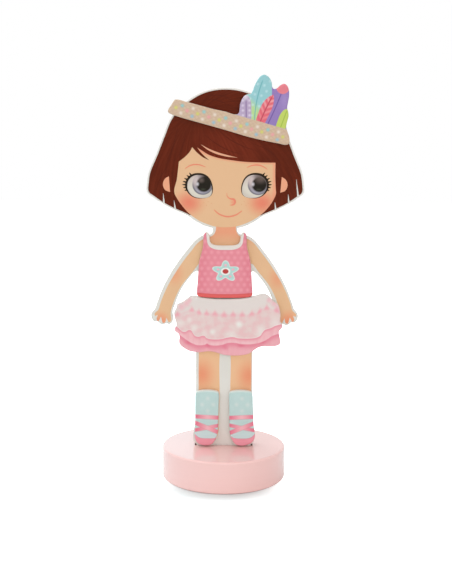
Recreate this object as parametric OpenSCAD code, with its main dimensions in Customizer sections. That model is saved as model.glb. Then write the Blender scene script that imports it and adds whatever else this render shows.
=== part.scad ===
// Wooden dress-up doll: a flat board figure that stands in a slotted round base,
// with loose clothes that hold on to steel plates in the figure by hidden magnets.
// Millimetres, Z up. The figure faces -Y, and left and right are as seen from the front.
// The origin is at the middle of the base's underside.

/* [Stand] */
// Diameter of the round base
base_d = 90; // [80:1:110]
// Height of the round base
base_h = 23; // [20:1:30]
// Radius of the base's rounded rims
base_rim_r = 1.4; // [0.6:0.1:3]
// Depth of the slot that the figure stands in
slot_depth = 13; // [10:0.5:16]
// Free room between the slot's walls and each face of the tongue
slot_play = 0.25; // [0.2:0.05:0.4]
// Free room at each end of the tongue, which shows as a dark gap beside the feet
slot_end_play = 1.2; // [0.6:0.1:2]

/* [Figure] */
// Height of the bare figure above the base
figure_h = 259; // [230:1:275]
// Thickness of the figure's board
board_t = 6; // [5:0.5:8]
// Thickness of the printed sheet on the figure's front
sheet_t = 0.3; // [0.2:0.05:0.5]
// How far the printed sheet stays inside the board's edge
sheet_inset = 0.3; // [0.2:0.05:0.6]
// Thickness of the steel plates under the printed sheet
steel_t = 0.5; // [0.4:0.1:0.8]

/* [Clothes] */
// Thickness of a garment's board
garment_t = 4; // [3.5:0.5:6]
// Radius of a garment's rounded front edge
edge_r = 1; // [0.6:0.1:1.2]
// Bevel of a garment's back edge
back_bevel = 0.3; // [0.2:0.1:0.5]
// Air between a worn garment and the printed sheet
wear_gap = 0.3; // [0.2:0.05:0.5]
// Thickness of the sheet that closes the magnet pockets
cover_t = 0.3; // [0.2:0.05:0.5]
// Diameter of a magnet
magnet_d = 6; // [5:0.5:7]
// Thickness of a magnet
magnet_t = 2; // [1.5:0.5:2.5]

/* [Hidden] */
$fn = 96;

// Outlines are drawn for a figure this tall, from the top of the base upwards, and scaled to figure_h
drawn_h = 259;
size_k = figure_h / drawn_h;
// Points between two drawn points of a smooth outline
outline_steps = 3;
// Flats in a quarter turn of a garment's rounded edge
edge_steps = 4;

tongue_half_w = 20;
tongue_depth = slot_depth - 0.1;
slot_half_l = tongue_half_w * size_k + slot_end_play;

front_y = -board_t / 2;
sheet_front_y = front_y - sheet_t;
worn_y = sheet_front_y - wear_gap;
garment_back_y = worn_y - cover_t;

// Room round a steel plate or a magnet in its pocket
pocket_play = 0.1;
// How far a garment's back sheet stays inside its edge
cover_inset = 1;

// Steel plates, as [x, z] on the figure: a disc behind the hair and two strips behind body and legs
head_plate_at = [0, 213];
head_plate_r = 40;
torso_plate_z = [78, 147];
torso_plate_half_w = 13;
leg_plate_z = [6, 66];
leg_plate_half_w = 16.5;
plate_corner_r = 3;

headband_magnets_at = [[-22, 241.5], [2, 235.4], [26, 228.6]];
top_magnets_at = [[-9, 137], [9, 137], [0.5, 121]];
skirt_magnets_at = [[-9, 99], [9, 99], [0, 86]];
boot_magnets_at = [[12.4, 34], [12.4, 12]];

// Right foot, leg, side, arm and shoulder of the figure, from the base up to the jaw
side_points = [
    [20, 0.5], [21.8, 2.4], [22.5, 5.6], [22.5, 8.6], [21.7, 14], [21, 22], [20.7, 40], [20.7, 70],
    [20.4, 90], [19.3, 101], [17.9, 110], [17.2, 118], [17.4, 125], [18.3, 128.3], [20, 129.4],
    [22.1, 128.4], [25.5, 124.6], [30, 118.3], [33.5, 111.3], [36.1, 104.4], [37.8, 99.4],
    [37.5, 95], [38, 91.6], [40.3, 90.4], [42.3, 91], [44.3, 90], [46.8, 90.8], [48.7, 92.4],
    [50.6, 92.1], [52.8, 94.9], [53.1, 98.1], [50.6, 101.5], [48.7, 106.8], [46.1, 113.7],
    [42.8, 120.9], [38.1, 129.2], [32.4, 137.7], [26.5, 145.4], [21.5, 151.3], [16.8, 154.6],
    [12.8, 155.4], [10, 156.2], [8.7, 158.4], [8.9, 160.5]
];
// Right jaw and lower edge of the hair, from the neck out to the hair's tip
jaw_points = [[8.9, 160.5], [14.4, 162], [20.6, 165], [26.8, 169.2], [36.6, 173.5], [45.2, 178], [54.8, 184.6]];
// Right side of the hair, from its tip up to the crown
hair_points = [
    [54.8, 184.6], [55.9, 186.8], [55.7, 192], [54.5, 199.6], [49.4, 212], [44.4, 224.6], [38.2, 238.8],
    [28, 249.2], [15, 256.6], [0, 259]
];
// Right half of the vest, from the middle of the hem up round the strap to the neckline
top_points = [
    [0, 110.6], [8, 110.7], [15.5, 111.1], [18.3, 111.6], [19.7, 112.6], [20, 114.4], [19.5, 122], [18.9, 131],
    [18.3, 137], [17.2, 141.6], [16.1, 145.6], [15.5, 150], [15.4, 154], [14.9, 156.6],
    [13.5, 157.8], [12, 157.3], [11.2, 155.6], [10.9, 152.6], [9.9, 150], [7.6, 148.8],
    [4, 148.4], [0, 148.3]
];
// Frilled skirt: lower hem, right frills, waist, left frills
skirt_points = [
    [4, 68.5], [12, 68.7], [18, 70.1], [21.5, 72.5], [25, 74.7], [29, 75.5], [34, 75.3], [38.4, 76.1],
    [40.4, 77.7], [40.3, 80.5], [39.4, 84.5], [39.5, 86.7], [41.4, 88.9], [41.6, 91.1], [40.3, 93.5],
    [40.3, 98.5], [39.6, 103], [38.4, 106.3], [36, 107.9], [33.8, 109.9], [31.6, 112.3], [29, 113.6],
    [26.5, 113.6], [22, 112.3], [17, 111.1], [9, 110.2], [0, 109.9], [-9, 110.1], [-16, 110.8],
    [-21, 111.7], [-24, 111.9], [-26.5, 110.3], [-29, 108.3], [-31.8, 106.7], [-34.3, 105.5],
    [-34.6, 103.3], [-36.2, 100.5], [-36.2, 97.5], [-35.2, 93.5], [-34.5, 90.5], [-36, 87.9],
    [-35.6, 86.1], [-33.2, 84.3], [-32.4, 82], [-32.8, 78.5], [-31.8, 76.1], [-29, 73.7],
    [-25.5, 71.8], [-21, 70.9], [-17, 70.8], [-12, 71.5], [-8, 71.2], [-4, 70.1], [0, 68.9]
];
// Right ballet boot with its toe turned out by a flare: toe, outer side, cuff, inner side
function boot_points(flare) = [
    [12.4, 0.9], [16.8, 1.5], [19.5 + flare * 0.7, 3.6], [20.7 + flare, 7], [20.8 + flare, 10.4],
    [20.8 + flare * 0.6, 16], [20.9 + flare * 0.3, 24], [20.9 + flare * 0.1, 34], [20.8, 39.4],
    [20.2, 41.1], [18.4, 41.9], [12.4, 42.6], [6, 41.9], [4.3, 41.1], [3.7, 39.4], [3.7, 34], [3.9, 24], [4.1, 16],
    [4.6, 9.8], [6.2, 5.2], [8.8, 1.9]
];
// How far each boot's toe turns out: the two are laid on by hand and differ
left_flare = 0.4;
right_flare = 2;
// Headband: lower edge, right end, the tips of the feathers from right to left, upper edge, left end
headband_points = [
    [-38.4, 240.5], [-34, 239], [-20, 235.1], [0, 229.7], [16, 225.1], [28, 222.4], [37, 220.7],
    [42.6, 219.8], [44.4, 220.7], [44.8, 222.6], [44.3, 226], [43.2, 229], [42.3, 232.3],
    [42.8, 235.5], [43.8, 239.6], [43.5, 242.8], [42.8, 245],
    [43.3, 249], [44, 253.4], [43.8, 257.4], [42.5, 260.6], [40.4, 261.9], [37.6, 260.7],
    [35.2, 258.7], [33.3, 258.4], [32.2, 259.6],
    [31.8, 262.4], [30.6, 265.2], [28.7, 267.2], [26.2, 268], [23.6, 266.7], [21.4, 263.6],
    [19.6, 260], [18.3, 256.4], [17.1, 254.7],
    [15.4, 254.5], [13.2, 253.7], [11.4, 251.6], [10, 248.2], [9.5, 244.2], [9, 241.6],
    [7.6, 240.7], [0, 242.4], [-9, 244.3], [-18, 246.6], [-28, 249.2], [-34, 250.7],
    [-35.8, 250.4], [-37, 248.8], [-38.8, 246], [-40.4, 243.5], [-40.2, 241.6]
];

// Direction of a vector, and the direction in which a smooth curve through a, b and c passes b
function unit(v) = v / norm(v);
function heading(a, b, c) = unit(unit(b - a) + unit(c - b));

// Point at share t of the way from b to c on a smooth curve that comes from a and goes on to d
function between(a, b, c, d, t) = let (chord = norm(c - b))
    (2 * t ^ 3 - 3 * t ^ 2 + 1) * b + (t ^ 3 - 2 * t ^ 2 + t) * chord * heading(a, b, c)
    + (3 * t ^ 2 - 2 * t ^ 3) * c + (t ^ 3 - t ^ 2) * chord * heading(b, c, d);

// Smooth open curve through p, without its last point
function smooth_run(p) = let (last = len(p) - 1) [
    for (i = [0 : last - 1]) for (j = [0 : outline_steps - 1])
        between(
            i == 0 ? 2 * p[0] - p[1] : p[i - 1], p[i], p[i + 1],
            i == last - 1 ? 2 * p[last] - p[last - 1] : p[i + 2], j / outline_steps
        )
];

// Smooth closed curve through p
function smooth_loop(p) = let (n = len(p)) [
    for (i = [0 : n - 1]) for (j = [0 : outline_steps - 1])
        between(p[(i + n - 1) % n], p[i], p[(i + 1) % n], p[(i + 2) % n], j / outline_steps)
];

// The points of p on the other side of the middle, in reverse order
function mirrored(p) = [for (i = [len(p) - 1 : -1 : 0]) [-p[i][0], p[i][1]]];

// p without its first or its last point
function without_first(p) = [for (i = [1 : len(p) - 1]) p[i]];
function without_last(p) = [for (i = [0 : len(p) - 2]) p[i]];

// Outline points scaled to the figure's height
function sized(p) = [for (q = p) q * size_k];

// Unit vector that points into a counter-clockwise outline from the edge between a and b
function inward(a, b) = let (d = (b - a) / norm(b - a)) [-d[1], d[0]];

// A counter-clockwise outline moved inwards by d, with mitred corners
function inset(p, d) = let (n = len(p)) [
    for (i = [0 : n - 1])
        let (
            before = inward(p[(i + n - 1) % n], p[i]),
            after = inward(p[i], p[(i + 1) % n]),
            middle = (before + after) / norm(before + after)
        )
        p[i] + middle * d / max(0.5, middle * before)
];

// Twice the area of the triangle a, b, c, which is above zero when the turn at b is to the left
function turn(a, b, c) = (b[0] - a[0]) * (c[1] - a[1]) - (b[1] - a[1]) * (c[0] - a[0]);

// True when q lies in the counter-clockwise triangle a, b, c
function covers(a, b, c, q) = turn(a, b, q) >= 0 && turn(b, c, q) >= 0 && turn(c, a, q) >= 0;

// True when the corner at place i of a ring of point numbers can be cut off as a triangle
function is_ear(p, ring, i) = let (
        n = len(ring),
        before = ring[(i + n - 1) % n],
        here = ring[i],
        after = ring[(i + 1) % n]
    )
    turn(p[before], p[here], p[after]) > 0
    && len([
        for (k = ring)
            if (k != before && k != here && k != after && covers(p[before], p[here], p[after], p[k])) k
    ]) == 0;

// First place from i on whose corner can be cut off
function first_ear(p, ring, i) = i >= len(ring) - 1 || is_ear(p, ring, i) ? i : first_ear(p, ring, i + 1);

// Triangles that fill a counter-clockwise outline, cut off one corner at a time
function triangles(p, ring, done = []) = len(ring) < 3 ? done : let (n = len(ring), i = first_ear(p, ring, 0))
    triangles(
        p,
        [for (k = [0 : n - 1]) if (k != i) ring[k]],
        concat(done, [[ring[(i + n - 1) % n], ring[i], ring[(i + 1) % n]]])
    );

// Closed outlines, counter-clockwise as seen from the front
figure_outline = sized(concat(
    [[tongue_half_w, -tongue_depth / size_k]],
    smooth_run(side_points),
    smooth_run(jaw_points),
    smooth_run(concat(hair_points, without_first(mirrored(hair_points)))),
    smooth_run(mirrored(jaw_points)),
    smooth_run(mirrored(side_points)),
    [[-tongue_half_w, 0.5], [-tongue_half_w, -tongue_depth / size_k]]
));
headband_outline = sized(smooth_loop(headband_points));
top_outline = sized(smooth_loop(concat(top_points, without_first(without_last(mirrored(top_points))))));
skirt_outline = sized(smooth_loop(skirt_points));
left_boot_outline = mirrored(sized(smooth_loop(boot_points(left_flare))));
right_boot_outline = sized(smooth_loop(boot_points(right_flare)));

// Moves flat work from the drawing plane to stand on the base, with its back at y
module upright(y) {
    translate([0, y, base_h]) rotate([90, 0, 0]) children();
}

// A flat plate of an outline, with square edges
module square_plate(outline, thickness) {
    linear_extrude(thickness) polygon(outline);
}

// A flat plate of an outline with a bevelled back edge and a rounded front edge
module rounded_plate(outline, thickness) {
    n = len(outline);
    levels = concat(
        [[back_bevel, 0], [0, back_bevel], [0, thickness - edge_r]],
        [for (s = [1 : edge_steps]) let (a = 90 * s / edge_steps)
            [edge_r * (1 - cos(a)), thickness - edge_r + edge_r * sin(a)]]
    );
    rings = len(levels);
    points = [
        for (level = levels) for (p = inset(outline, level[0])) [p[0], p[1], level[1]]
    ];
    walls = [
        for (k = [0 : rings - 2]) for (i = [0 : n - 1])
            [k * n + i, (k + 1) * n + i, (k + 1) * n + (i + 1) % n, k * n + (i + 1) % n]
    ];
    back = triangles([for (i = [0 : n - 1]) points[i]], [for (i = [0 : n - 1]) i]);
    front_start = (rings - 1) * n;
    front = triangles([for (i = [0 : n - 1]) points[front_start + i]], [for (i = [0 : n - 1]) i]);
    caps = concat(
        back,
        [for (f = front) [front_start + f[2], front_start + f[1], front_start + f[0]]]
    );
    polyhedron(points, concat(walls, caps), convexity = 6);
}

// One disc, a magnet or its pocket, at each place
module discs(places, d, thickness) {
    for (p = places) translate([p[0] * size_k, p[1] * size_k, 0]) cylinder(d = d, h = thickness);
}

// A strip with round corners between two heights
module strip(half_w, heights, grow, thickness) {
    r = plate_corner_r;
    w = half_w * size_k;
    low = heights[0] * size_k;
    high = heights[1] * size_k;
    linear_extrude(thickness) union() {
        translate([-w + r, low - grow]) square([2 * (w - r), high - low + 2 * grow]);
        translate([-w - grow, low + r]) square([2 * (w + grow), high - low - 2 * r]);
        for (x = [-w + r, w - r]) for (z = [low + r, high - r]) translate([x, z]) circle(r + grow);
    }
}

// The three steel plates, grown by some room when they cut their pockets
module head_plate_shape(grow, thickness) {
    translate([head_plate_at[0] * size_k, head_plate_at[1] * size_k, 0])
        cylinder(r = head_plate_r * size_k + grow, h = thickness);
}
module torso_plate_shape(grow, thickness) strip(torso_plate_half_w, torso_plate_z, grow, thickness);
module leg_plate_shape(grow, thickness) strip(leg_plate_half_w, leg_plate_z, grow, thickness);

// Round base with rounded rims and the slot for the figure's tongue
module stand_base() {
    r = base_d / 2;
    slot_w = board_t + 2 * slot_play;
    color("pink") difference() {
        rotate_extrude() union() {
            square([r - base_rim_r, base_h]);
            translate([0, base_rim_r]) square([r, base_h - 2 * base_rim_r]);
            for (z = [base_rim_r, base_h - base_rim_r]) translate([r - base_rim_r, z]) circle(base_rim_r);
        }
        translate([-slot_half_l, -slot_w / 2, base_h - slot_depth]) cube([2 * slot_half_l, slot_w, slot_depth + 1]);
    }
}

// The figure: head with bobbed hair, arms, legs and the tongue that goes into the base
module doll_board() {
    pocket = steel_t + pocket_play / 2;
    color("white") difference() {
        upright(board_t / 2) square_plate(figure_outline, board_t);
        upright(front_y + pocket) {
            head_plate_shape(pocket_play, pocket + 1);
            torso_plate_shape(pocket_play, pocket + 1);
            leg_plate_shape(pocket_play, pocket + 1);
        }
    }
}

module head_steel_plate() color("silver") upright(front_y + steel_t) head_plate_shape(0, steel_t);
module torso_steel_plate() color("silver") upright(front_y + steel_t) torso_plate_shape(0, steel_t);
module leg_steel_plate() color("silver") upright(front_y + steel_t) leg_plate_shape(0, steel_t);

// Printed sheet that covers the figure's front and hides the steel plates, down to the base's top
module doll_front_sheet() {
    above_base = 0.5;
    room = drawn_h * 2;
    color("bisque") intersection() {
        upright(front_y) square_plate(inset(figure_outline, sheet_inset), sheet_t);
        translate([-room, -room, base_h + above_base]) cube(2 * room);
    }
}

// A garment's board, with pockets for magnets in its back
module garment_board(outline, places) {
    difference() {
        upright(garment_back_y) rounded_plate(outline, garment_t);
        upright(garment_back_y + 1) discs(places, magnet_d + 2 * pocket_play, magnet_t + pocket_play + 1);
    }
}
module garment_magnets(places) {
    upright(garment_back_y) discs(places, magnet_d, magnet_t);
}
module garment_back_sheet(outline) {
    upright(worn_y) square_plate(inset(outline, cover_inset), cover_t);
}

// Beaded headband with a bunch of feathers, cut from one board
module headband_board() color("tan") garment_board(headband_outline, headband_magnets_at);
module headband_magnets() color("gray") garment_magnets(headband_magnets_at);
module headband_back_sheet() color("ivory") garment_back_sheet(headband_outline);

// Sleeveless vest with two straps
module top_board() color("palevioletred") garment_board(top_outline, top_magnets_at);
module top_magnets() color("gray") garment_magnets(top_magnets_at);
module top_back_sheet() color("ivory") garment_back_sheet(top_outline);

// Frilled ballet skirt
module skirt_board() color("lightpink") garment_board(skirt_outline, skirt_magnets_at);
module skirt_magnets() color("gray") garment_magnets(skirt_magnets_at);
module skirt_back_sheet() color("ivory") garment_back_sheet(skirt_outline);

// Pair of ballet boots
module left_boot_board() color("powderblue") garment_board(left_boot_outline, mirrored(boot_magnets_at));
module left_boot_magnets() color("gray") garment_magnets(mirrored(boot_magnets_at));
module left_boot_back_sheet() color("ivory") garment_back_sheet(left_boot_outline);
module right_boot_board() color("powderblue") garment_board(right_boot_outline, boot_magnets_at);
module right_boot_magnets() color("gray") garment_magnets(boot_magnets_at);
module right_boot_back_sheet() color("ivory") garment_back_sheet(right_boot_outline);

stand_base();
doll_board();
head_steel_plate();
torso_steel_plate();
leg_steel_plate();
doll_front_sheet();
headband_board();
headband_magnets();
headband_back_sheet();
top_board();
top_magnets();
top_back_sheet();
skirt_board();
skirt_magnets();
skirt_back_sheet();
left_boot_board();
left_boot_magnets();
left_boot_back_sheet();
right_boot_board();
right_boot_magnets();
right_boot_back_sheet();
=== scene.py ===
"""Looks of a wooden dress-up doll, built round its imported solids.

A flat board figure stands in a turned pink base and wears five magnetic boards: a headband with
feathers, a vest, a frilled skirt and two ballet boots. Drawing sizes are millimetres, with x to the
right, z above the top of the base and y towards the back.
"""

import logging
import math
from dataclasses import dataclass, replace
from enum import Enum, IntEnum
from typing import Sequence

import bmesh
import bpy
import numpy as np
from mathutils import Matrix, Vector
from mathutils.geometry import tessellate_polygon

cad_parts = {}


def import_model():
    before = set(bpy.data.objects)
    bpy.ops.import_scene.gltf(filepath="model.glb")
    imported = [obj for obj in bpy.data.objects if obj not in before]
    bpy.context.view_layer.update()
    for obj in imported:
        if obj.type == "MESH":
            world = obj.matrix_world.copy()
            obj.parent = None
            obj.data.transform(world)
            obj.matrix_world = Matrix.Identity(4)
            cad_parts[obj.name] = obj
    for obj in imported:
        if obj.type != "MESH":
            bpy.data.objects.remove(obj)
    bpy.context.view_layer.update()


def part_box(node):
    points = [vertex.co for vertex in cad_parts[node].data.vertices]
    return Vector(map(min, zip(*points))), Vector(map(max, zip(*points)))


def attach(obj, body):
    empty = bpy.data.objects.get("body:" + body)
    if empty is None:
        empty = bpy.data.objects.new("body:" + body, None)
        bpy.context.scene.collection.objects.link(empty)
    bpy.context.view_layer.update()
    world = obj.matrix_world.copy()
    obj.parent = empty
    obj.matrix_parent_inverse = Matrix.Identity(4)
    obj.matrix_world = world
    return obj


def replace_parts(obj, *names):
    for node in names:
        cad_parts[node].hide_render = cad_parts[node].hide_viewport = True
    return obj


LOG = logging.getLogger("dress_up_doll")

Colour = tuple[int, int, int]
Spot = tuple[float, float]
Triple = tuple[float, float, float]
Line = tuple[Spot, ...]
Widths = tuple[float, ...]
NO_STRETCH: Spot = (1.0, 1.0)

WHITE_LIGHT = (1.0, 1.0, 1.0, 1.0)
MM = 0.001
MERGE_DISTANCE = 1e-7
TINY = 1e-12
QUAD = 4
SHARP_ANGLE = math.radians(40.0)
PRINT_EDGE = 0.12
CAD_MARGIN = 0.01


class Layer(IntEnum):
    """Order of the ink films on the doll's front sheet, from the sheet outwards."""

    BODY = 1
    FACE = 2
    FEATURE = 3
    LINE = 4


class Side(IntEnum):
    """Side of the doll as seen from the front."""

    LEFT = -1
    RIGHT = 1


class Opening(Enum):
    """The face of a board in which its pockets are cut."""

    BACK = "back"
    FRONT = "front"


@dataclass(frozen=True)
class Layout:
    """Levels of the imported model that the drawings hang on, in millimetres."""

    base_top: float
    base_radius: float
    sheet_front: float

    @classmethod
    def from_frame(cls) -> "Layout":
        """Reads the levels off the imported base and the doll's front sheet."""
        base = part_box("stand_base")[1]
        return cls(base.z / MM, base.x / MM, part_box("doll_front_sheet")[0].y / MM)


def linear(colour: Colour) -> tuple[float, float, float, float]:
    """Turns a display colour from 0 to 255 into the linear light that a shader takes."""
    share = np.asarray(colour, float) / 255.0
    light = np.where(share <= 0.04045, share / 12.92, ((share + 0.055) / 1.055) ** 2.4)
    return (*light.tolist(), 1.0)


def shifted(spot: Spot, by: Spot) -> Spot:
    """Moves a spot."""
    return spot[0] + by[0], spot[1] + by[1]


def unit(vectors: np.ndarray) -> np.ndarray:
    """Scales vectors to length one."""
    return vectors / np.maximum(np.linalg.norm(vectors, axis=-1, keepdims=True), TINY)


def smooth_curve(
    points: Sequence[Spot], closed: bool = False, steps: int = 8, corner: float = 180.0
) -> np.ndarray:
    """Draws a smooth curve through points.

    Each stretch is a cubic Hermite curve as strong as its chord. It passes a point along the middle of
    the two chords that meet there, or along its own chord where they turn by more than the corner angle.

    Args:
        points: the points to pass, in order.
        closed: whether the last point runs on to the first.
        steps: places on each stretch.
        corner: turn in degrees from which a point stays a corner.

    Returns:
        The curve's places, one row each.
    """
    p = np.asarray(points, float)
    before = np.roll(p, 1, 0)
    after = np.roll(p, -1, 0)
    if not closed:
        before[0] = 2 * p[0] - p[1]
        after[-1] = 2 * p[-1] - p[-2]
    come = unit(p - before)
    go = unit(after - p)
    sharp = (come * go).sum(1, keepdims=True) < math.cos(math.radians(corner))
    middle = unit(come + go)
    count = len(p) if closed else len(p) - 1
    start = p[:count, None]
    stop = after[:count, None]
    chord = np.linalg.norm(stop - start, axis=-1, keepdims=True)
    leave = np.where(sharp, go, middle)[:count, None] * chord
    arrive = np.roll(np.where(sharp, come, middle), -1, 0)[:count, None] * chord
    t = (np.arange(steps) / steps)[None, :, None]
    curve = (
        (2 * t**3 - 3 * t**2 + 1) * start
        + (t**3 - 2 * t**2 + t) * leave
        + (3 * t**2 - 2 * t**3) * stop
        + (t**3 - t**2) * arrive
    ).reshape(-1, 2)
    return curve if closed else np.vstack([curve, p[-1:]])


def counter_clockwise(outline: np.ndarray) -> np.ndarray:
    """Turns an outline so that it runs counter-clockwise as seen from the front."""
    x, z = outline.T
    area = (x * np.roll(z, -1) - z * np.roll(x, -1)).sum()
    return outline if area > 0 else outline[::-1]


def inset(outline: np.ndarray, distance: float) -> np.ndarray:
    """Moves a counter-clockwise outline inwards, with mitred corners.

    Args:
        outline: the closed outline.
        distance: how far every edge moves.

    Returns:
        The moved outline, point for point.
    """
    edge = unit(np.roll(outline, -1, 0) - outline)
    after = np.stack([-edge[:, 1], edge[:, 0]], 1)
    before = np.roll(after, 1, 0)
    middle = unit(before + after)
    return outline + middle * distance / np.maximum(0.5, (middle * before).sum(1, keepdims=True))


def arc(centre: Spot, radii: Spot, start: float = 0.0, stop: float = 360.0, count: int = 72) -> np.ndarray:
    """Points of an ellipse from one angle to another, in degrees, without the last of a full turn."""
    angle = np.radians(np.linspace(start, stop, count, endpoint=abs(stop - start) < 360.0))
    return np.asarray(centre) + np.stack([np.cos(angle), np.sin(angle)], 1) * np.asarray(radii)


def stroke(path: Sequence[Spot], half_widths: Sequence[float]) -> np.ndarray:
    """Outline of a brush stroke.

    Args:
        path: points that the brush passes smoothly.
        half_widths: half the stroke's width at even shares of its length.

    Returns:
        The closed outline: one side there and the other side back.
    """
    line = smooth_curve(path)
    heading = unit(np.gradient(line, axis=0))
    share = np.linspace(0.0, 1.0, len(line))
    half = np.interp(share, np.linspace(0.0, 1.0, len(half_widths)), half_widths)
    aside = np.stack([-heading[:, 1], heading[:, 0]], 1) * half[:, None]
    return counter_clockwise(np.vstack([line - aside, (line + aside)[::-1]]))


def at_level(outline: np.ndarray, y: float) -> np.ndarray:
    """Stands a flat outline upright at a depth y."""
    return np.stack([outline[:, 0], np.full(len(outline), y), outline[:, 1]], 1)


def cad_ring(node: str, level: int) -> np.ndarray:
    """Reads the outline of a packed board.

    The walls' triangles that have two corners on the chosen depth level and the third in front of it
    give the ring's edges. Jumps that double in length put the edges in order.

    Args:
        node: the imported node.
        level: which of the node's depth levels, counted from the front, or below zero from the back.

    Returns:
        The outline in millimetres above the table, counter-clockwise.
    """
    mesh = bpy.data.objects[node].data
    corners = np.empty(len(mesh.vertices) * 3, np.float32)
    mesh.vertices.foreach_get("co", corners)
    mesh.calc_loop_triangles()
    triangles = np.empty(len(mesh.loop_triangles) * 3, np.int32)
    mesh.loop_triangles.foreach_get("vertices", triangles)
    places = np.round(corners.reshape(-1, 3) / MM, 3)[triangles].reshape(-1, 3, 3)
    depth = np.unique(places[..., 1])[level]
    on = places[..., 1] == depth
    walls = (on.sum(1) == 2) & (places[..., 1].min(1) < depth)
    off = np.argmin(on[walls], 1)
    rows = np.arange(len(off))
    ends = np.stack([places[walls][rows, (off + k) % 3] for k in (1, 2)], 1)[..., [0, 2]]
    spots, number = np.unique(ends.reshape(-1, 2), axis=0, return_inverse=True)
    first, second = number.reshape(-1, 2).T
    jump = np.zeros(len(spots), int)
    jump[first] = second
    order = np.array([len(spots) - 1])
    while len(order) <= len(spots):
        order = np.concatenate([order, jump[order]])
        jump = jump[jump]
    lap = np.argmax(order[1:] == order[0]) + 1
    return counter_clockwise(spots[order[:lap]])


def board_outline(node: str, level: int, layout: Layout, corner: float) -> np.ndarray:
    """Smooth outline of a packed board.

    Args:
        node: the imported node.
        level: which of the node's depth levels, as cad_ring counts them.
        layout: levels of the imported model.
        corner: turn in degrees from which a point stays a corner.

    Returns:
        The outline in drawing millimetres above the base.
    """
    ring = cad_ring(node, level) - (0.0, layout.base_top)
    return smooth_curve(ring, closed=True, steps=3, corner=corner)


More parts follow.
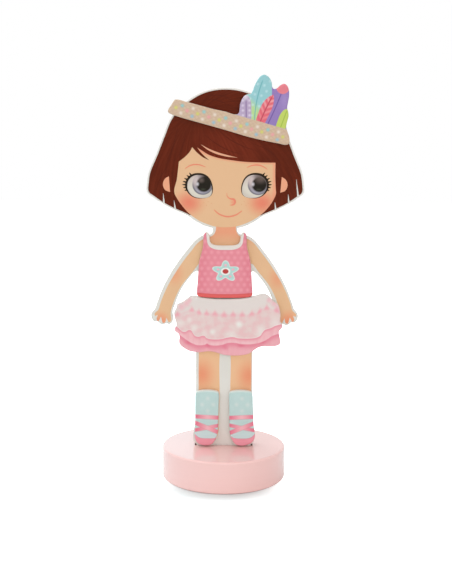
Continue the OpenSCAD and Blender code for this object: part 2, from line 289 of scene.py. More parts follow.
@dataclass(frozen=True)
class Shell:
    """A mesh in drawing millimetres: corner places, the faces' corner numbers in a row, and face sizes."""

    corners: np.ndarray
    loops: np.ndarray
    sizes: np.ndarray

    @classmethod
    def joined(cls, shells: Sequence["Shell"]) -> "Shell":
        """Puts several shells into one."""
        starts = np.cumsum([0] + [len(shell.corners) for shell in shells])
        return cls(
            np.vstack([shell.corners for shell in shells]),
            np.concatenate([shell.loops + start for shell, start in zip(shells, starts)]),
            np.concatenate([shell.sizes for shell in shells]),
        )

    @classmethod
    def loft(cls, rings: np.ndarray, first_cap: bool = True, last_cap: bool = True) -> "Shell":
        """Carries a skin over closed rings of equal size.

        Args:
            rings: places by ring and by corner, from back to front where the skin faces out.
            first_cap: whether a face closes the first ring.
            last_cap: whether a face closes the last ring.

        Returns:
            The skin: quads between neighbouring rings, and the caps.
        """
        count = rings.shape[1]
        here = np.arange(len(rings) - 1)[:, None] * count + np.arange(count)
        beside = np.roll(here, -1, 1)
        loops = [np.stack([here, beside, beside + count, here + count], -1).ravel()]
        sizes = [np.full(here.size, QUAD)]
        if first_cap:
            loops.append(np.arange(count)[::-1])
            sizes.append([count])
        if last_cap:
            loops.append(np.arange(count) + (len(rings) - 1) * count)
            sizes.append([count])
        return cls(rings.reshape(-1, 3), np.concatenate(loops), np.concatenate(sizes))

    @classmethod
    def slab(cls, outline: np.ndarray, back: float, front: float) -> "Shell":
        """Gives a closed outline the thickness between two depths."""
        ring = counter_clockwise(outline)
        return cls.loft(np.stack([at_level(ring, back), at_level(ring, front)]))

    @classmethod
    def hoop(cls, outer: np.ndarray, inner: np.ndarray, back: float, front: float) -> "Shell":
        """Gives the ground between two outlines of equal size the thickness between two depths."""
        path = ((outer, back), (outer, front), (inner, front), (inner, back), (outer, back))
        return cls.loft(np.stack([at_level(ring, y) for ring, y in path]), False, False)

    @classmethod
    def pierced(cls, outline: np.ndarray, holes: Sequence[np.ndarray], y: float, opening: Opening) -> "Shell":
        """Fills an outline with triangles that leave its holes open.

        Args:
            outline: the outer edge.
            holes: the edges of the holes.
            y: depth of the face.
            opening: which way the face looks.

        Returns:
            The flat face.
        """
        loops = [outline, *holes]
        spots = np.vstack(loops)
        triangles = np.array(tessellate_polygon([loop.tolist() for loop in loops]))
        a, b, c = (spots[triangles[:, k]] for k in range(3))
        turn = (b[:, 0] - a[:, 0]) * (c[:, 1] - a[:, 1]) - (b[:, 1] - a[:, 1]) * (c[:, 0] - a[:, 0])
        wrong = (turn > 0) == (opening is Opening.BACK)
        triangles[wrong] = triangles[wrong][:, ::-1]
        return cls(at_level(spots, y), triangles.ravel(), np.full(len(triangles), 3))

    @classmethod
    def board(
        cls,
        ring: np.ndarray,
        sections: Sequence[Spot],
        pockets: Sequence[np.ndarray],
        floor: float,
        opening: Opening,
    ) -> "Shell":
        """Carries an edge profile round a board's outline and cuts its pockets.

        Args:
            ring: the board's full outline.
            sections: the profile from back to front, as how far it lies inside the outline and its depth.
            pockets: outlines of the pockets, counter-clockwise.
            floor: depth of the pockets' floors.
            opening: the face in which the pockets open.

        Returns:
            The closed board.
        """
        rings = np.stack([at_level(inset(ring, far), y) for far, y in sections])
        at_back = opening is Opening.BACK
        face = rings[0 if at_back else -1]
        skin = cls.loft(rings, first_cap=not at_back, last_cap=at_back)
        lid = cls.pierced(face[:, [0, 2]], pockets, face[0, 1], opening)
        turned = [pocket[::-1] if at_back else pocket for pocket in pockets]
        cups = [
            cls.loft(np.stack([at_level(cup, face[0, 1]), at_level(cup, floor)]), first_cap=False)
            for cup in turned
        ]
        return cls.joined([skin, lid, *cups])

    def piece(
        self, name: str, layout: Layout, body: str, slot: str, material: bpy.types.Material
    ) -> bpy.types.Object:
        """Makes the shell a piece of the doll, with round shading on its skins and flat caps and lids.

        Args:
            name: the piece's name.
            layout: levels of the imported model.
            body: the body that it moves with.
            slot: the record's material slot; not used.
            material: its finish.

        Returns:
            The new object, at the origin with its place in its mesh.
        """
        mesh = bpy.data.meshes.new(name)
        places = (self.corners + (0.0, 0.0, layout.base_top)) * MM
        mesh.vertices.add(len(places))
        mesh.vertices.foreach_set("co", places.ravel())
        mesh.loops.add(len(self.loops))
        mesh.loops.foreach_set("vertex_index", self.loops.astype(np.int32))
        mesh.polygons.add(len(self.sizes))
        mesh.polygons.foreach_set("loop_start", (np.cumsum(self.sizes) - self.sizes).astype(np.int32))
        mesh.polygons.foreach_set("use_smooth", self.sizes == QUAD)
        mesh.update(calc_edges=True)
        work = bmesh.new()
        work.from_mesh(mesh)
        bmesh.ops.remove_doubles(work, verts=work.verts, dist=MERGE_DISTANCE)
        work.to_mesh(mesh)
        work.free()
        mesh.set_sharp_from_angle(angle=SHARP_ANGLE)
        mesh.materials.append(material)
        made = bpy.data.objects.new(name, mesh)
        bpy.context.scene.collection.objects.link(made)
        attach(made, body)
        LOG.info("%s: %d corners, rides on %s", name, len(mesh.vertices), body)
        return made


class Field:
    """A number that shader nodes work out at every point of a surface."""

    def __init__(self, tree: bpy.types.NodeTree, socket: bpy.types.NodeSocket) -> None:
        """Wraps an output socket of a node tree."""
        self.tree = tree
        self.socket = socket

    def math(self, operation: str, *others: "Field | float", clamp: bool = False) -> "Field":
        """Works out one sum.

        Args:
            operation: the math node's operation.
            others: the numbers after this one.
            clamp: whether the result stays between 0 and 1.

        Returns:
            The result.
        """
        node = self.tree.nodes.new("ShaderNodeMath")
        node.operation = operation
        node.use_clamp = clamp
        for socket, value in zip(node.inputs, (self, *others)):
            if isinstance(value, Field):
                self.tree.links.new(value.socket, socket)
            else:
                socket.default_value = value
        return Field(self.tree, node.outputs[0])

    def __add__(self, other: "Field | float") -> "Field":
        """Sum."""
        return self.math("ADD", other)

    def __sub__(self, other: "Field | float") -> "Field":
        """Difference."""
        return self.math("SUBTRACT", other)

    def __mul__(self, other: "Field | float") -> "Field":
        """Product, which is also the overlap of two masks."""
        return self.math("MULTIPLY", other)

    def __abs__(self) -> "Field":
        """Size without sign."""
        return self.math("ABSOLUTE")

    def flipped(self) -> "Field":
        """The rest of a mask: one less this."""
        return self.math("MULTIPLY_ADD", -1.0, 1.0)

    def wrapped(self, period: float) -> "Field":
        """Distance to the nearest whole number of periods, with its sign."""
        return self.math("WRAP", period / 2, -period / 2)

    def hypot(self, other: "Field") -> "Field":
        """Length of the vector that two numbers make."""
        return (self * self + other * other).math("SQRT")

    def above(self, edge: "Field | float", soft: float = PRINT_EDGE) -> "Field":
        """Mask of the places where this is above an edge, with a ramp of twice the soft distance."""
        return (self - edge).math("MULTIPLY_ADD", 0.5 / soft, 0.5, clamp=True)

    def below(self, edge: "Field | float", soft: float = PRINT_EDGE) -> "Field":
        """Mask of the places where this is below an edge, with a ramp of twice the soft distance."""
        return (self - edge).math("MULTIPLY_ADD", -0.5 / soft, 0.5, clamp=True)

    def eased(self) -> "Field":
        """Smooth start and end for a ramp from 0 to 1: three squares less two cubes."""
        return self * self * self.math("MULTIPLY_ADD", -2.0, 3.0)


class Canvas:
    """The paint on one surface: colours laid over each other in the object's own coordinates."""

    def __init__(self, name: str, layout: Layout, ground: Colour) -> None:
        """Starts a material.

        Args:
            name: the material's name.
            layout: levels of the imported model.
            ground: the colour under everything else.
        """
        self.material = bpy.data.materials.new(name)
        self.material.use_nodes = True
        self.tree = self.material.node_tree
        self.shader = self.tree.nodes["Principled BSDF"]
        self.ground = linear(ground)
        self.shader.inputs["Base Color"].default_value = self.ground
        spot = self.node("ShaderNodeTexCoord").outputs["Object"]
        place = self.node("ShaderNodeVectorMath")
        place.operation = "MULTIPLY_ADD"
        place.inputs[1].default_value = (1 / MM,) * 3
        place.inputs[2].default_value = (0.0, 0.0, -layout.base_top)
        self.tree.links.new(spot, place.inputs[0])
        self.place = place.outputs[0]
        parts = self.node("ShaderNodeSeparateXYZ")
        self.tree.links.new(self.place, parts.inputs[0])
        self.x, self.y, self.z = (Field(self.tree, socket) for socket in parts.outputs)
        self.colour: bpy.types.NodeSocket | None = None

    def node(self, kind: str) -> bpy.types.Node:
        """Adds a node."""
        return self.tree.nodes.new(kind)

    def paint(self, colour: Colour, mask: Field, strength: float = 1.0) -> None:
        """Lays a colour over what is there.

        Args:
            colour: the colour.
            mask: where it lies, from 0 to 1.
            strength: how much it covers where the mask is full.
        """
        mix = self.node("ShaderNodeMix")
        mix.data_type = "RGBA"
        factor, under, over, result = mix.inputs[0], mix.inputs[6], mix.inputs[7], mix.outputs[2]
        self.tree.links.new((mask * strength).socket, factor)
        under.default_value = self.ground
        if self.colour is not None:
            self.tree.links.new(self.colour, under)
        over.default_value = linear(colour)
        self.colour = result
        self.tree.links.new(result, self.shader.inputs["Base Color"])

    def vector(self, x: Field, y: Field, z: Field) -> bpy.types.NodeSocket:
        """Makes a vector of three numbers."""
        node = self.node("ShaderNodeCombineXYZ")
        for socket, part in zip(node.inputs, (x, y, z)):
            self.tree.links.new(part.socket, socket)
        return node.outputs[0]

    def noise(
        self,
        grains: Triple,
        detail: float = 2.0,
        place: bpy.types.NodeSocket | None = None,
    ) -> Field:
        """Soft random number from 0 to 1.

        Args:
            grains: grains to a millimetre along each axis.
            detail: octaves of finer noise.
            place: where to read it, by default the place on the object.

        Returns:
            The number.
        """
        stretch = self.node("ShaderNodeVectorMath")
        stretch.operation = "MULTIPLY"
        stretch.inputs[1].default_value = grains
        self.tree.links.new(place or self.place, stretch.inputs[0])
        node = self.node("ShaderNodeTexNoise")
        node.inputs["Scale"].default_value = 1.0
        node.inputs["Detail"].default_value = detail
        self.tree.links.new(stretch.outputs[0], node.inputs["Vector"])
        return Field(self.tree, node.outputs["Fac"])

    def distance(self, centre: Spot, stretch: Spot = NO_STRETCH) -> Field:
        """Distance on the front from a centre, counted shorter along a stretched axis."""
        across = (self.x - centre[0]) * (1 / stretch[0])
        up = (self.z - centre[1]) * (1 / stretch[1])
        return across.hypot(up)

    def disc(self, centre: Spot, radius: float, soft: float = PRINT_EDGE) -> Field:
        """Mask of a round spot."""
        return self.distance(centre).below(radius, soft)

    def glow(self, centre: Spot, radius: float, stretch: Spot = NO_STRETCH) -> Field:
        """Mask of a soft spot that fades out at its radius."""
        return self.distance(centre, stretch).math("MULTIPLY_ADD", -1 / radius, 1.0, clamp=True).eased()

    def turned(self, origin: Spot, angle: float) -> tuple[Field, Field]:
        """Places along and across an axis.

        Args:
            origin: a point of the axis.
            angle: the axis's rise in radians.

        Returns:
            The place along the axis and the place across it, above zero to its left.
        """
        cosine, sine = math.cos(angle), math.sin(angle)
        dx, dz = self.x - origin[0], self.z - origin[1]
        return dx * cosine + dz * sine, dz * cosine - dx * sine

    def curve(self, along: Field, knots: Sequence[Spot]) -> Field:
        """Height of a smooth curve over a number.

        Args:
            along: the number.
            knots: points of the curve, in rising order; past its ends the curve stays level.

        Returns:
            The curve's height.
        """
        spots = np.asarray(knots, float)
        low = spots.min(0)
        size = np.ptp(spots, 0)
        share = (spots - low) / size
        node = self.node("ShaderNodeFloatCurve")
        node.mapping.extend = "HORIZONTAL"
        line = node.mapping.curves[0]
        line.points[0].location = share[0]
        line.points[1].location = share[-1]
        for spot in share[1:-1]:
            line.points.new(*spot)
        node.mapping.update()
        self.tree.links.new(((along - low[0]) * (1 / size[0])).socket, node.inputs["Value"])
        return Field(self.tree, node.outputs[0]) * size[1] + low[1]


@dataclass(frozen=True)
class Finish:
    """How a surface shines and what its fine relief is."""

    roughness: float
    spread: float = 0.06
    specular: float = 0.5
    coat: float = 0.0
    coat_roughness: float = 0.2
    metal: float = 0.0
    grains: Triple = (2.5, 2.5, 2.5)
    relief: float = 0.006
    mottle: Colour = (120, 90, 70)
    mottle_share: float = 0.05
    patch_fineness: float = 0.12

    def dress(self, canvas: Canvas) -> bpy.types.Material:
        """Gives a painted canvas its shine, relief and slight unevenness of colour.

        Args:
            canvas: the painted canvas.

        Returns:
            The finished material.
        """
        grain = canvas.noise(self.grains)
        patch = canvas.noise(tuple(self.patch_fineness * rate for rate in self.grains))
        canvas.paint(self.mottle, grain * patch, strength=self.mottle_share)
        inputs = canvas.shader.inputs
        inputs["Metallic"].default_value = self.metal
        inputs["Specular IOR Level"].default_value = self.specular
        inputs["Coat Weight"].default_value = self.coat
        inputs["Coat Roughness"].default_value = self.coat_roughness
        shine = grain.math("MULTIPLY_ADD", 2 * self.spread, self.roughness - self.spread)
        canvas.tree.links.new(shine.socket, inputs["Roughness"])
        bump = canvas.node("ShaderNodeBump")
        bump.inputs["Distance"].default_value = self.relief * MM
        canvas.tree.links.new(grain.socket, bump.inputs["Height"])
        canvas.tree.links.new(bump.outputs[0], inputs["Normal"])
        return canvas.material


LACQUER = Finish(
    0.22, coat=0.6, coat_roughness=0.06, grains=(0.9, 0.9, 0.9), relief=0.002, mottle=(214, 150, 146)
)
EDGE_PAINT = Finish(0.5, grains=(1.6, 1.6, 0.5), relief=0.012, mottle=(196, 182, 158), mottle_share=0.12)
SHEET_PRINT = Finish(0.6, specular=0.1, grains=(3.5, 3.5, 3.5), relief=0.004, mottle=(150, 112, 84))
GARMENT_PRINT = Finish(0.5, specular=0.2, relief=0.005)
FELT = Finish(
    0.9, specular=0.2, grains=(5.0, 5.0, 5.0), relief=0.05, mottle=(178, 160, 134), mottle_share=0.4
)
BRUSHED_STEEL = Finish(
    0.36, metal=1.0, grains=(0.3, 5.0, 6.0), relief=0.003, mottle=(90, 92, 96), mottle_share=0.5
)
NICKEL = Finish(0.26, metal=1.0, grains=(1.2, 4.0, 1.2), relief=0.004, mottle=(96, 92, 88), mottle_share=0.4)


def dress_node(node: str, canvas: Canvas, finish: Finish) -> None:
    """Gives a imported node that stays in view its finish.

    Args:
        node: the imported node.
        canvas: its paint.
        finish: its shine and relief.
    """
    material = finish.dress(canvas)
    shown = bpy.data.objects[node]
    if not shown.material_slots:
        shown.data.materials.append(material)
    for place in shown.material_slots:
        place.material = material
    LOG.info("%s: packed node, finish %s", node, material.name)


@dataclass(frozen=True)
class Lamp:
    """A square soft lamp: place and side in metres, power in watts, tint, and whether it glints."""

    name: str
    place: Triple
    size: float
    power: float
    tint: Triple = (1.0, 1.0, 1.0)
    glints: bool = True

    def hang(self, aim: Triple) -> None:
        """Adds the lamp to the scene, turned towards a place."""
        light = bpy.data.lights.new(self.name, "AREA")
        light.size = self.size
        light.energy = self.power
        light.color = self.tint
        lamp = bpy.data.objects.new(self.name, light)
        lamp.location = self.place
        lamp.visible_glossy = self.glints
        x, y, z = np.asarray(aim) - np.asarray(self.place)
        lamp.rotation_euler = (math.atan2(math.hypot(x, y), -z), 0.0, -math.atan2(x, y))
        bpy.context.scene.collection.objects.link(lamp)


@dataclass
class Studio:
    """White table, soft key light from the upper left, and the camera at the photograph's place."""

    image_long_side: float = 584.0
    camera_place: Triple = (0.0, -0.740, 0.2516)
    look_down: float = 8.81
    roll: float = 0.384
    lens: float = 63.74
    sideways: float = 1.3
    lamps: tuple[Lamp, ...] = (
        Lamp("key_light", (-0.75, -0.95, 1.05), 1.1, 4.0),
        Lamp("fill_light", (0.9, -0.9, 0.55), 1.2, 2.3, (1.0, 0.84, 0.74)),
        Lamp("front_light", (0.25, -1.15, 0.2), 0.9, 3.2),
        Lamp("back_light", (-0.8, 0.75, 0.9), 1.2, 6.4, (0.77, 1.0, 1.05), False),
        Lamp("top_light", (-0.05, 0.05, 1.4), 0.8, 7.2, (0.92, 1.0, 1.01), False),
        Lamp("window_light", (-1.15, 0.1, 0.4), 1.6, 4.7, (0.75, 1.0, 1.05), False),
        Lamp("sheen_light", (-0.36, 0.9, 0.35), 0.7, 0.5, (0.1, 0.9, 1.05)),
    )
    aim: Triple = (0.0, 0.0, 0.13)
    sky_strength: float = 0.45
    floor_size: float = 6.0
    floor_roughness: float = 0.9
    floor_colour: Colour = (240, 240, 240)
    shadow_colour: Colour = (213, 216, 216)
    floor_glow: float = 0.04
    shadow_centre: Spot = (-0.003, -0.036)
    shadow_reach: Spot = (0.011, 0.04)
    shadow_squeeze: float = 0.6

    def build(self) -> None:
        """Sets up camera, lamps, sky and floor."""
        scene = bpy.context.scene
        scene.view_settings.view_transform = "Standard"
        self.add_camera()
        for lamp in self.lamps:
            lamp.hang(self.aim)
        self.add_sky()
        self.add_floor()
        LOG.info("studio: camera at %s", self.camera_place)

    def add_camera(self) -> None:
        """Places the camera; a roll to the left makes the doll lean to the right."""
        lens = bpy.data.cameras.new("photo_camera")
        lens.lens = self.lens
        lens.shift_x = self.sideways / self.image_long_side
        camera = bpy.data.objects.new("photo_camera", lens)
        camera.matrix_world = (
            Matrix.Translation(self.camera_place)
            @ Matrix.Rotation(math.radians(90.0 - self.look_down), 4, "X")
            @ Matrix.Rotation(math.radians(self.roll), 4, "Z")
        )
        bpy.context.scene.collection.objects.link(camera)
        bpy.context.scene.camera = camera

    def seen_directly(self, tree: bpy.types.NodeTree) -> Field:
        """Mask of the rays that come from the camera, from a mirror or through glass."""
        path = tree.nodes.new("ShaderNodeLightPath").outputs
        rays = ("Is Camera Ray", "Is Glossy Ray", "Is Transmission Ray")
        straight, mirrored, through = (Field(tree, path[ray]) for ray in rays)
        return straight.math("MAXIMUM", mirrored).math("MAXIMUM", through)

    def add_sky(self) -> None:
        """Lights the object by a plain white sky that the camera sees as white."""
        world = bpy.data.worlds.new("white_sky")
        world.use_nodes = True
        tree = world.node_tree
        shade = tree.nodes["Background"]
        shade.inputs["Color"].default_value = WHITE_LIGHT
        strength = self.seen_directly(tree).math("MULTIPLY_ADD", 1.0 - self.sky_strength, self.sky_strength)
        tree.links.new(strength.socket, shade.inputs["Strength"])
        bpy.context.scene.world = world

    def add_floor(self) -> None:
        """Lays a white floor that keeps the object's shadow."""
        half = self.floor_size / 2
        mesh = bpy.data.meshes.new("studio_floor")
        square = np.array([[-1, -1, 0], [1, -1, 0], [1, 1, 0], [-1, 1, 0]]) * half
        mesh.from_pydata(square.tolist(), [], [[0, 1, 2, 3]])
        material = bpy.data.materials.new("white_table")
        material.use_nodes = True
        tree = material.node_tree
        shader = tree.nodes["Principled BSDF"]
        shader.inputs["Roughness"].default_value = self.floor_roughness
        shader.inputs["Specular IOR Level"].default_value = 0.0
        shader.inputs["Emission Color"].default_value = WHITE_LIGHT
        straight = Field(tree, tree.nodes.new("ShaderNodeLightPath").outputs["Is Camera Ray"])
        colour = tree.nodes.new("ShaderNodeMixRGB")
        colour.inputs["Color1"].default_value = linear(self.floor_colour)
        colour.inputs["Color2"].default_value = linear(self.shadow_colour)
        tree.links.new(straight.socket, colour.inputs["Fac"])
        tree.links.new(colour.outputs["Color"], shader.inputs["Base Color"])
        parts = tree.nodes.new("ShaderNodeSeparateXYZ")
        tree.links.new(tree.nodes.new("ShaderNodeTexCoord").outputs["Object"], parts.inputs[0])
        x, y = (Field(tree, parts.outputs[k]) for k in range(2))
        away = ((x - self.shadow_centre[0]) * self.shadow_squeeze).hypot(y - self.shadow_centre[1])
        near, far = self.shadow_reach
        fade = away.above((near + far) / 2, soft=(far - near) / 2).eased()
        glow = straight * fade + self.seen_directly(tree) * self.floor_glow
        tree.links.new(glow.socket, shader.inputs["Emission Strength"])
        mesh.materials.append(material)
        floor = bpy.data.objects.new("studio_floor", mesh)
        bpy.context.scene.collection.objects.link(floor)


@dataclass
class Stand:
    """Round turned base with rounded rims and a slot for the doll's tongue."""

    layout: Layout
    rim_radius: float = 1.4
    rim_steps: int = 8
    rim_support: float = 0.5
    slot_half_length: float = 21.2
    slot_half_width: float = 3.25
    slot_depth: float = 13.0
    slot_easing: float = 0.25
    flats: int = 192
    slot_margin: float = 0.1
    slot_dark: float = 0.3
    rim_pale_width: float = 0.5
    turned_grains: Triple = (0.35, 0.35, 0.5)
    paint: Colour = (242, 195, 190)
    grain_paint: Colour = (236, 182, 177)
    rim_paint: Colour = (252, 226, 223)
    slot_shade: Colour = (150, 104, 98)

    def build(self) -> bpy.types.Object:
        """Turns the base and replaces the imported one.

        The side is a profile turned round the axis. The top runs from the rim to the slot's edge, which
        lies where a ray at the same angle leaves the slot's rectangle.

        Returns:
            The base.
        """
        corner = math.atan2(self.slot_half_width, self.slot_half_length)
        corners = np.array([corner, math.pi - corner, math.pi + corner, math.tau - corner])
        angle = np.unique(np.concatenate([np.arange(self.flats) / self.flats * math.tau, corners]))
        ray = np.stack([np.cos(angle), np.sin(angle)], 1)
        quarter = np.linspace(0.0, math.pi / 2, self.rim_steps + 1)
        height = self.layout.base_top
        radius = self.layout.base_radius
        lift = self.rim_radius * np.sin(quarter)
        draw = radius - self.rim_radius * (1 - np.cos(quarter))
        support = radius - 2 * self.rim_radius
        low = np.stack([draw[::-1], self.rim_radius - lift[::-1]], 1)
        high = np.stack([draw, height - self.rim_radius + lift], 1)
        beside_rim = self.rim_radius + self.rim_support
        wall = [[radius, beside_rim], [radius, height - beside_rim]]
        profile = np.vstack([[support, 0.0], low, wall, high, [support, height]])
        turned = [np.column_stack([ray * r, np.full(len(ray), z)]) for r, z in profile]
        slot = (
            (self.slot_easing, height),
            (0.0, height - self.slot_easing),
            (0.0, height - self.slot_depth),
        )
        cut = [np.column_stack([self.slot_edge(ray, grow), np.full(len(ray), z)]) for grow, z in slot]
        rings = np.stack([*turned, *cut]) - (0.0, 0.0, height)
        piece = Shell.loft(rings).piece(
            "turned_base", self.layout, "stand", "pink_paint", LACQUER.dress(self.painted())
        )
        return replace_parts(piece, "stand_base")

    def slot_edge(self, ray: np.ndarray, grow: float) -> np.ndarray:
        """Where rays from the middle leave the slot's rectangle, grown by a little."""
        half = np.array([self.slot_half_length + grow, self.slot_half_width + grow])
        return ray * (half / np.maximum(np.abs(ray), TINY)).min(1, keepdims=True)

    def painted(self) -> Canvas:
        """Pink lacquer with a faint turned grain, paler at the rims and darker down in the slot."""
        canvas = Canvas("pink_lacquer", self.layout, self.paint)
        radius = canvas.x.hypot(canvas.y)
        rings = canvas.vector(radius, radius, canvas.z)
        grain = canvas.noise(self.turned_grains, detail=3.0, place=rings)
        canvas.paint(self.grain_paint, grain.above(0.5, soft=0.3), strength=0.15)
        # paler paint towards the outer edge, over the rims and the side
        paler_rim = radius.above(self.layout.base_radius - self.rim_pale_width, soft=self.rim_pale_width)
        canvas.paint(self.rim_paint, paler_rim, strength=0.1)
        along = abs(canvas.x).below(self.slot_half_length + self.slot_margin)
        across = abs(canvas.y).below(self.slot_half_width + self.slot_margin)
        canvas.paint(self.slot_shade, along * across * canvas.z.below(-self.slot_dark, soft=self.slot_dark))
        return canvas


@dataclass(frozen=True)
class Glow:
    """A soft spot of ink: its colour, centre, radius, stretch along each axis and strength."""

    ink: Colour
    centre: Spot
    radius: float
    stretch: Spot = NO_STRETCH
    strength: float = 1.0

    def moved(self, by: Spot) -> "Glow":
        """The same spot at another place."""
        return replace(self, centre=shifted(self.centre, by))

    def lay(self, canvas: Canvas, within: Field | None = None) -> None:
        """Paints the spot, all over or within a mask."""
        spot = canvas.glow(self.centre, self.radius, self.stretch)
        canvas.paint(self.ink, spot if within is None else within * spot, self.strength)


@dataclass
class Eye:
    """One printed eye: white, iris and pupil, with a dark rim and lashes on its outer side.

    Its edge, rim and lashes are drawn outwards from the nose's side and upwards, from the eye's centre.
    """

    side: Side
    centre: Spot
    iris: Spot
    pupil: Spot
    lid_shade: float
    shine: Spot
    shine_reach: Spot
    iris_radius: float = 7.3
    pupil_radius: float = 5.25
    lash_root: float = 0.8
    half_size: Spot = (9.8, 9.0)
    lid_start: float = 2.5
    edge_start: float = 0.88
    iris_rim_width: float = 0.75
    iris_rim_top: float = -0.5
    iris_lid_start: Spot = (-1.5, 4.2)
    iris_low_start: float = -2.5
    light_offset: Spot = (-4.8, 3.0)
    light_radius: float = 5.4
    light_stretch: Spot = (1.0, 1.3)
    shade_offset: Spot = (2.0, 4.2)
    shade_radius: float = 6.4
    white_ink: Colour = (219, 212, 199)
    lid_ink: Colour = (203, 186, 180)
    edge_ink: Colour = (186, 172, 164)
    iris_ink: Colour = (160, 148, 150)
    iris_low_ink: Colour = (164, 161, 174)
    iris_light_ink: Colour = (204, 188, 187)
    iris_rim_ink: Colour = (92, 90, 98)
    iris_lid_ink: Colour = (112, 96, 90)
    pupil_ink: Colour = (28, 26, 20)
    pupil_lid_ink: Colour = (30, 27, 21)
    shine_ink: Colour = (112, 97, 91)
    glints: tuple[Glow, Glow] = (
        Glow((226, 220, 226), (-4.6, 0.3), 1.9, (0.9, 1.15), 0.85),
        Glow((66, 70, 58), (-0.6, -3.5), 2.0, (1.5, 0.7), 0.6),
    )
    lash_half_widths: Widths = (0.6, 0.5, 0.2)
    edge_points: Line = (
        (0.9, 9.0), (-2.5, 8.65), (-5.5, 7.25), (-7.8, 4.8), (-9.1, 1.9), (-9.8, -1.0), (-9.75, -3.9),
        (-9.1, -6.0), (-7.8, -7.45), (-5.5, -8.45), (-2.2, -8.95), (1.2, -8.85), (3.9, -8.1), (6.4, -6.55),
        (8.25, -4.5), (9.45, -2.3), (9.85, 0.1), (9.6, 2.5), (8.75, 4.7), (7.3, 6.6), (5.3, 8.0), (3.2, 8.75),
    )
    rim_widths: Line = (
        (-180.0, 0.8), (-160.0, 0.65), (-145.0, 0.32), (-128.0, 0.06), (-110.0, 0.12), (-90.0, 0.34),
        (-60.0, 0.55), (-30.0, 1.0), (0.0, 1.55), (45.0, 1.6), (95.0, 1.4), (130.0, 1.05), (180.0, 0.8),
    )
    lash_tips: Line = (
        (6.9, 9.1), (8.7, 7.4), (10.4, 5.3), (11.5, 3.1), (11.8, 0.8), (11.2, -1.4), (10.2, -3.5),
    )

    def placed(self, points: Sequence[Spot]) -> np.ndarray:
        """Moves points drawn from the eye's centre to their place on the face."""
        return np.asarray(self.centre) + np.asarray(points, float) * (float(self.side), 1.0)

    def white(self) -> np.ndarray:
        """Outline of the eye."""
        return counter_clockwise(smooth_curve(self.placed(self.edge_points), closed=True))

    def crescent(self) -> tuple[np.ndarray, np.ndarray]:
        """Edges of the rim, whose width runs evenly from one named angle to the next.

        Returns:
            The outer and the inner edge.
        """
        outer = self.white()
        ray = outer - np.asarray(self.centre)
        angle = np.degrees(np.arctan2(ray[:, 1], ray[:, 0] * self.side))
        at, width = np.transpose(self.rim_widths)
        return outer, outer - unit(ray) * np.interp(angle, at, width)[:, None]

    def lash_strokes(self) -> list[np.ndarray]:
        """Outlines of the lashes: tapered strokes that stand out from the rim."""
        tips = np.asarray(self.lash_tips)
        pairs = zip(self.placed(tips * self.lash_root), self.placed(tips))
        return [stroke(ends, self.lash_half_widths) for ends in pairs]

    def painted(self, name: str, layout: Layout) -> Canvas:
        """Paint of the eye: warm white, a grey-lilac iris and a black pupil with soft lights.

        Args:
            name: the material's name.
            layout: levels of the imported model.

        Returns:
            The painted canvas.
        """
        canvas = Canvas(name, layout, self.white_ink)
        canvas.paint(self.lid_ink, (canvas.z - self.centre[1]).above(self.lid_start, soft=4.0), strength=0.9)
        edge = canvas.distance(self.centre, self.half_size).above(self.edge_start, soft=0.14)
        canvas.paint(self.edge_ink, edge, strength=0.4)
        away = canvas.distance(self.iris)
        aside, up = canvas.x - self.iris[0], canvas.z - self.iris[1]
        iris = away.below(self.iris_radius, soft=0.3)
        outside = away.above(self.iris_radius - self.iris_rim_width, soft=0.6)
        rim = iris * outside * up.below(self.iris_rim_top, soft=2.5)
        lid_aside, lid_up = self.iris_lid_start
        under_lid = iris * up.above(lid_up, soft=2.0) * aside.above(lid_aside, soft=3.0)
        light_at = shifted(self.iris, self.light_offset)
        light = iris * canvas.glow(light_at, self.light_radius, self.light_stretch).eased()
        shade_at = shifted(self.pupil, self.shade_offset)
        shade = iris * canvas.glow(shade_at, self.shade_radius).eased()
        canvas.paint(self.iris_ink, iris)
        canvas.paint(self.iris_low_ink, iris * up.below(self.iris_low_start, soft=2.5))
        canvas.paint(self.iris_light_ink, light)
        canvas.paint(self.iris_rim_ink, rim, strength=0.9)
        canvas.paint(self.iris_lid_ink, under_lid, strength=0.8)
        canvas.paint(self.pupil_ink, canvas.disc(self.pupil, self.pupil_radius, soft=0.6))
        canvas.paint(self.pupil_lid_ink, shade, strength=self.lid_shade)
        shine = Glow(self.shine_ink, self.shine, radius=1.0, stretch=self.shine_reach, strength=0.75)
        shine.lay(canvas, iris)
        for glint in self.glints:
            glint.moved(self.pupil).lay(canvas)
        return canvas


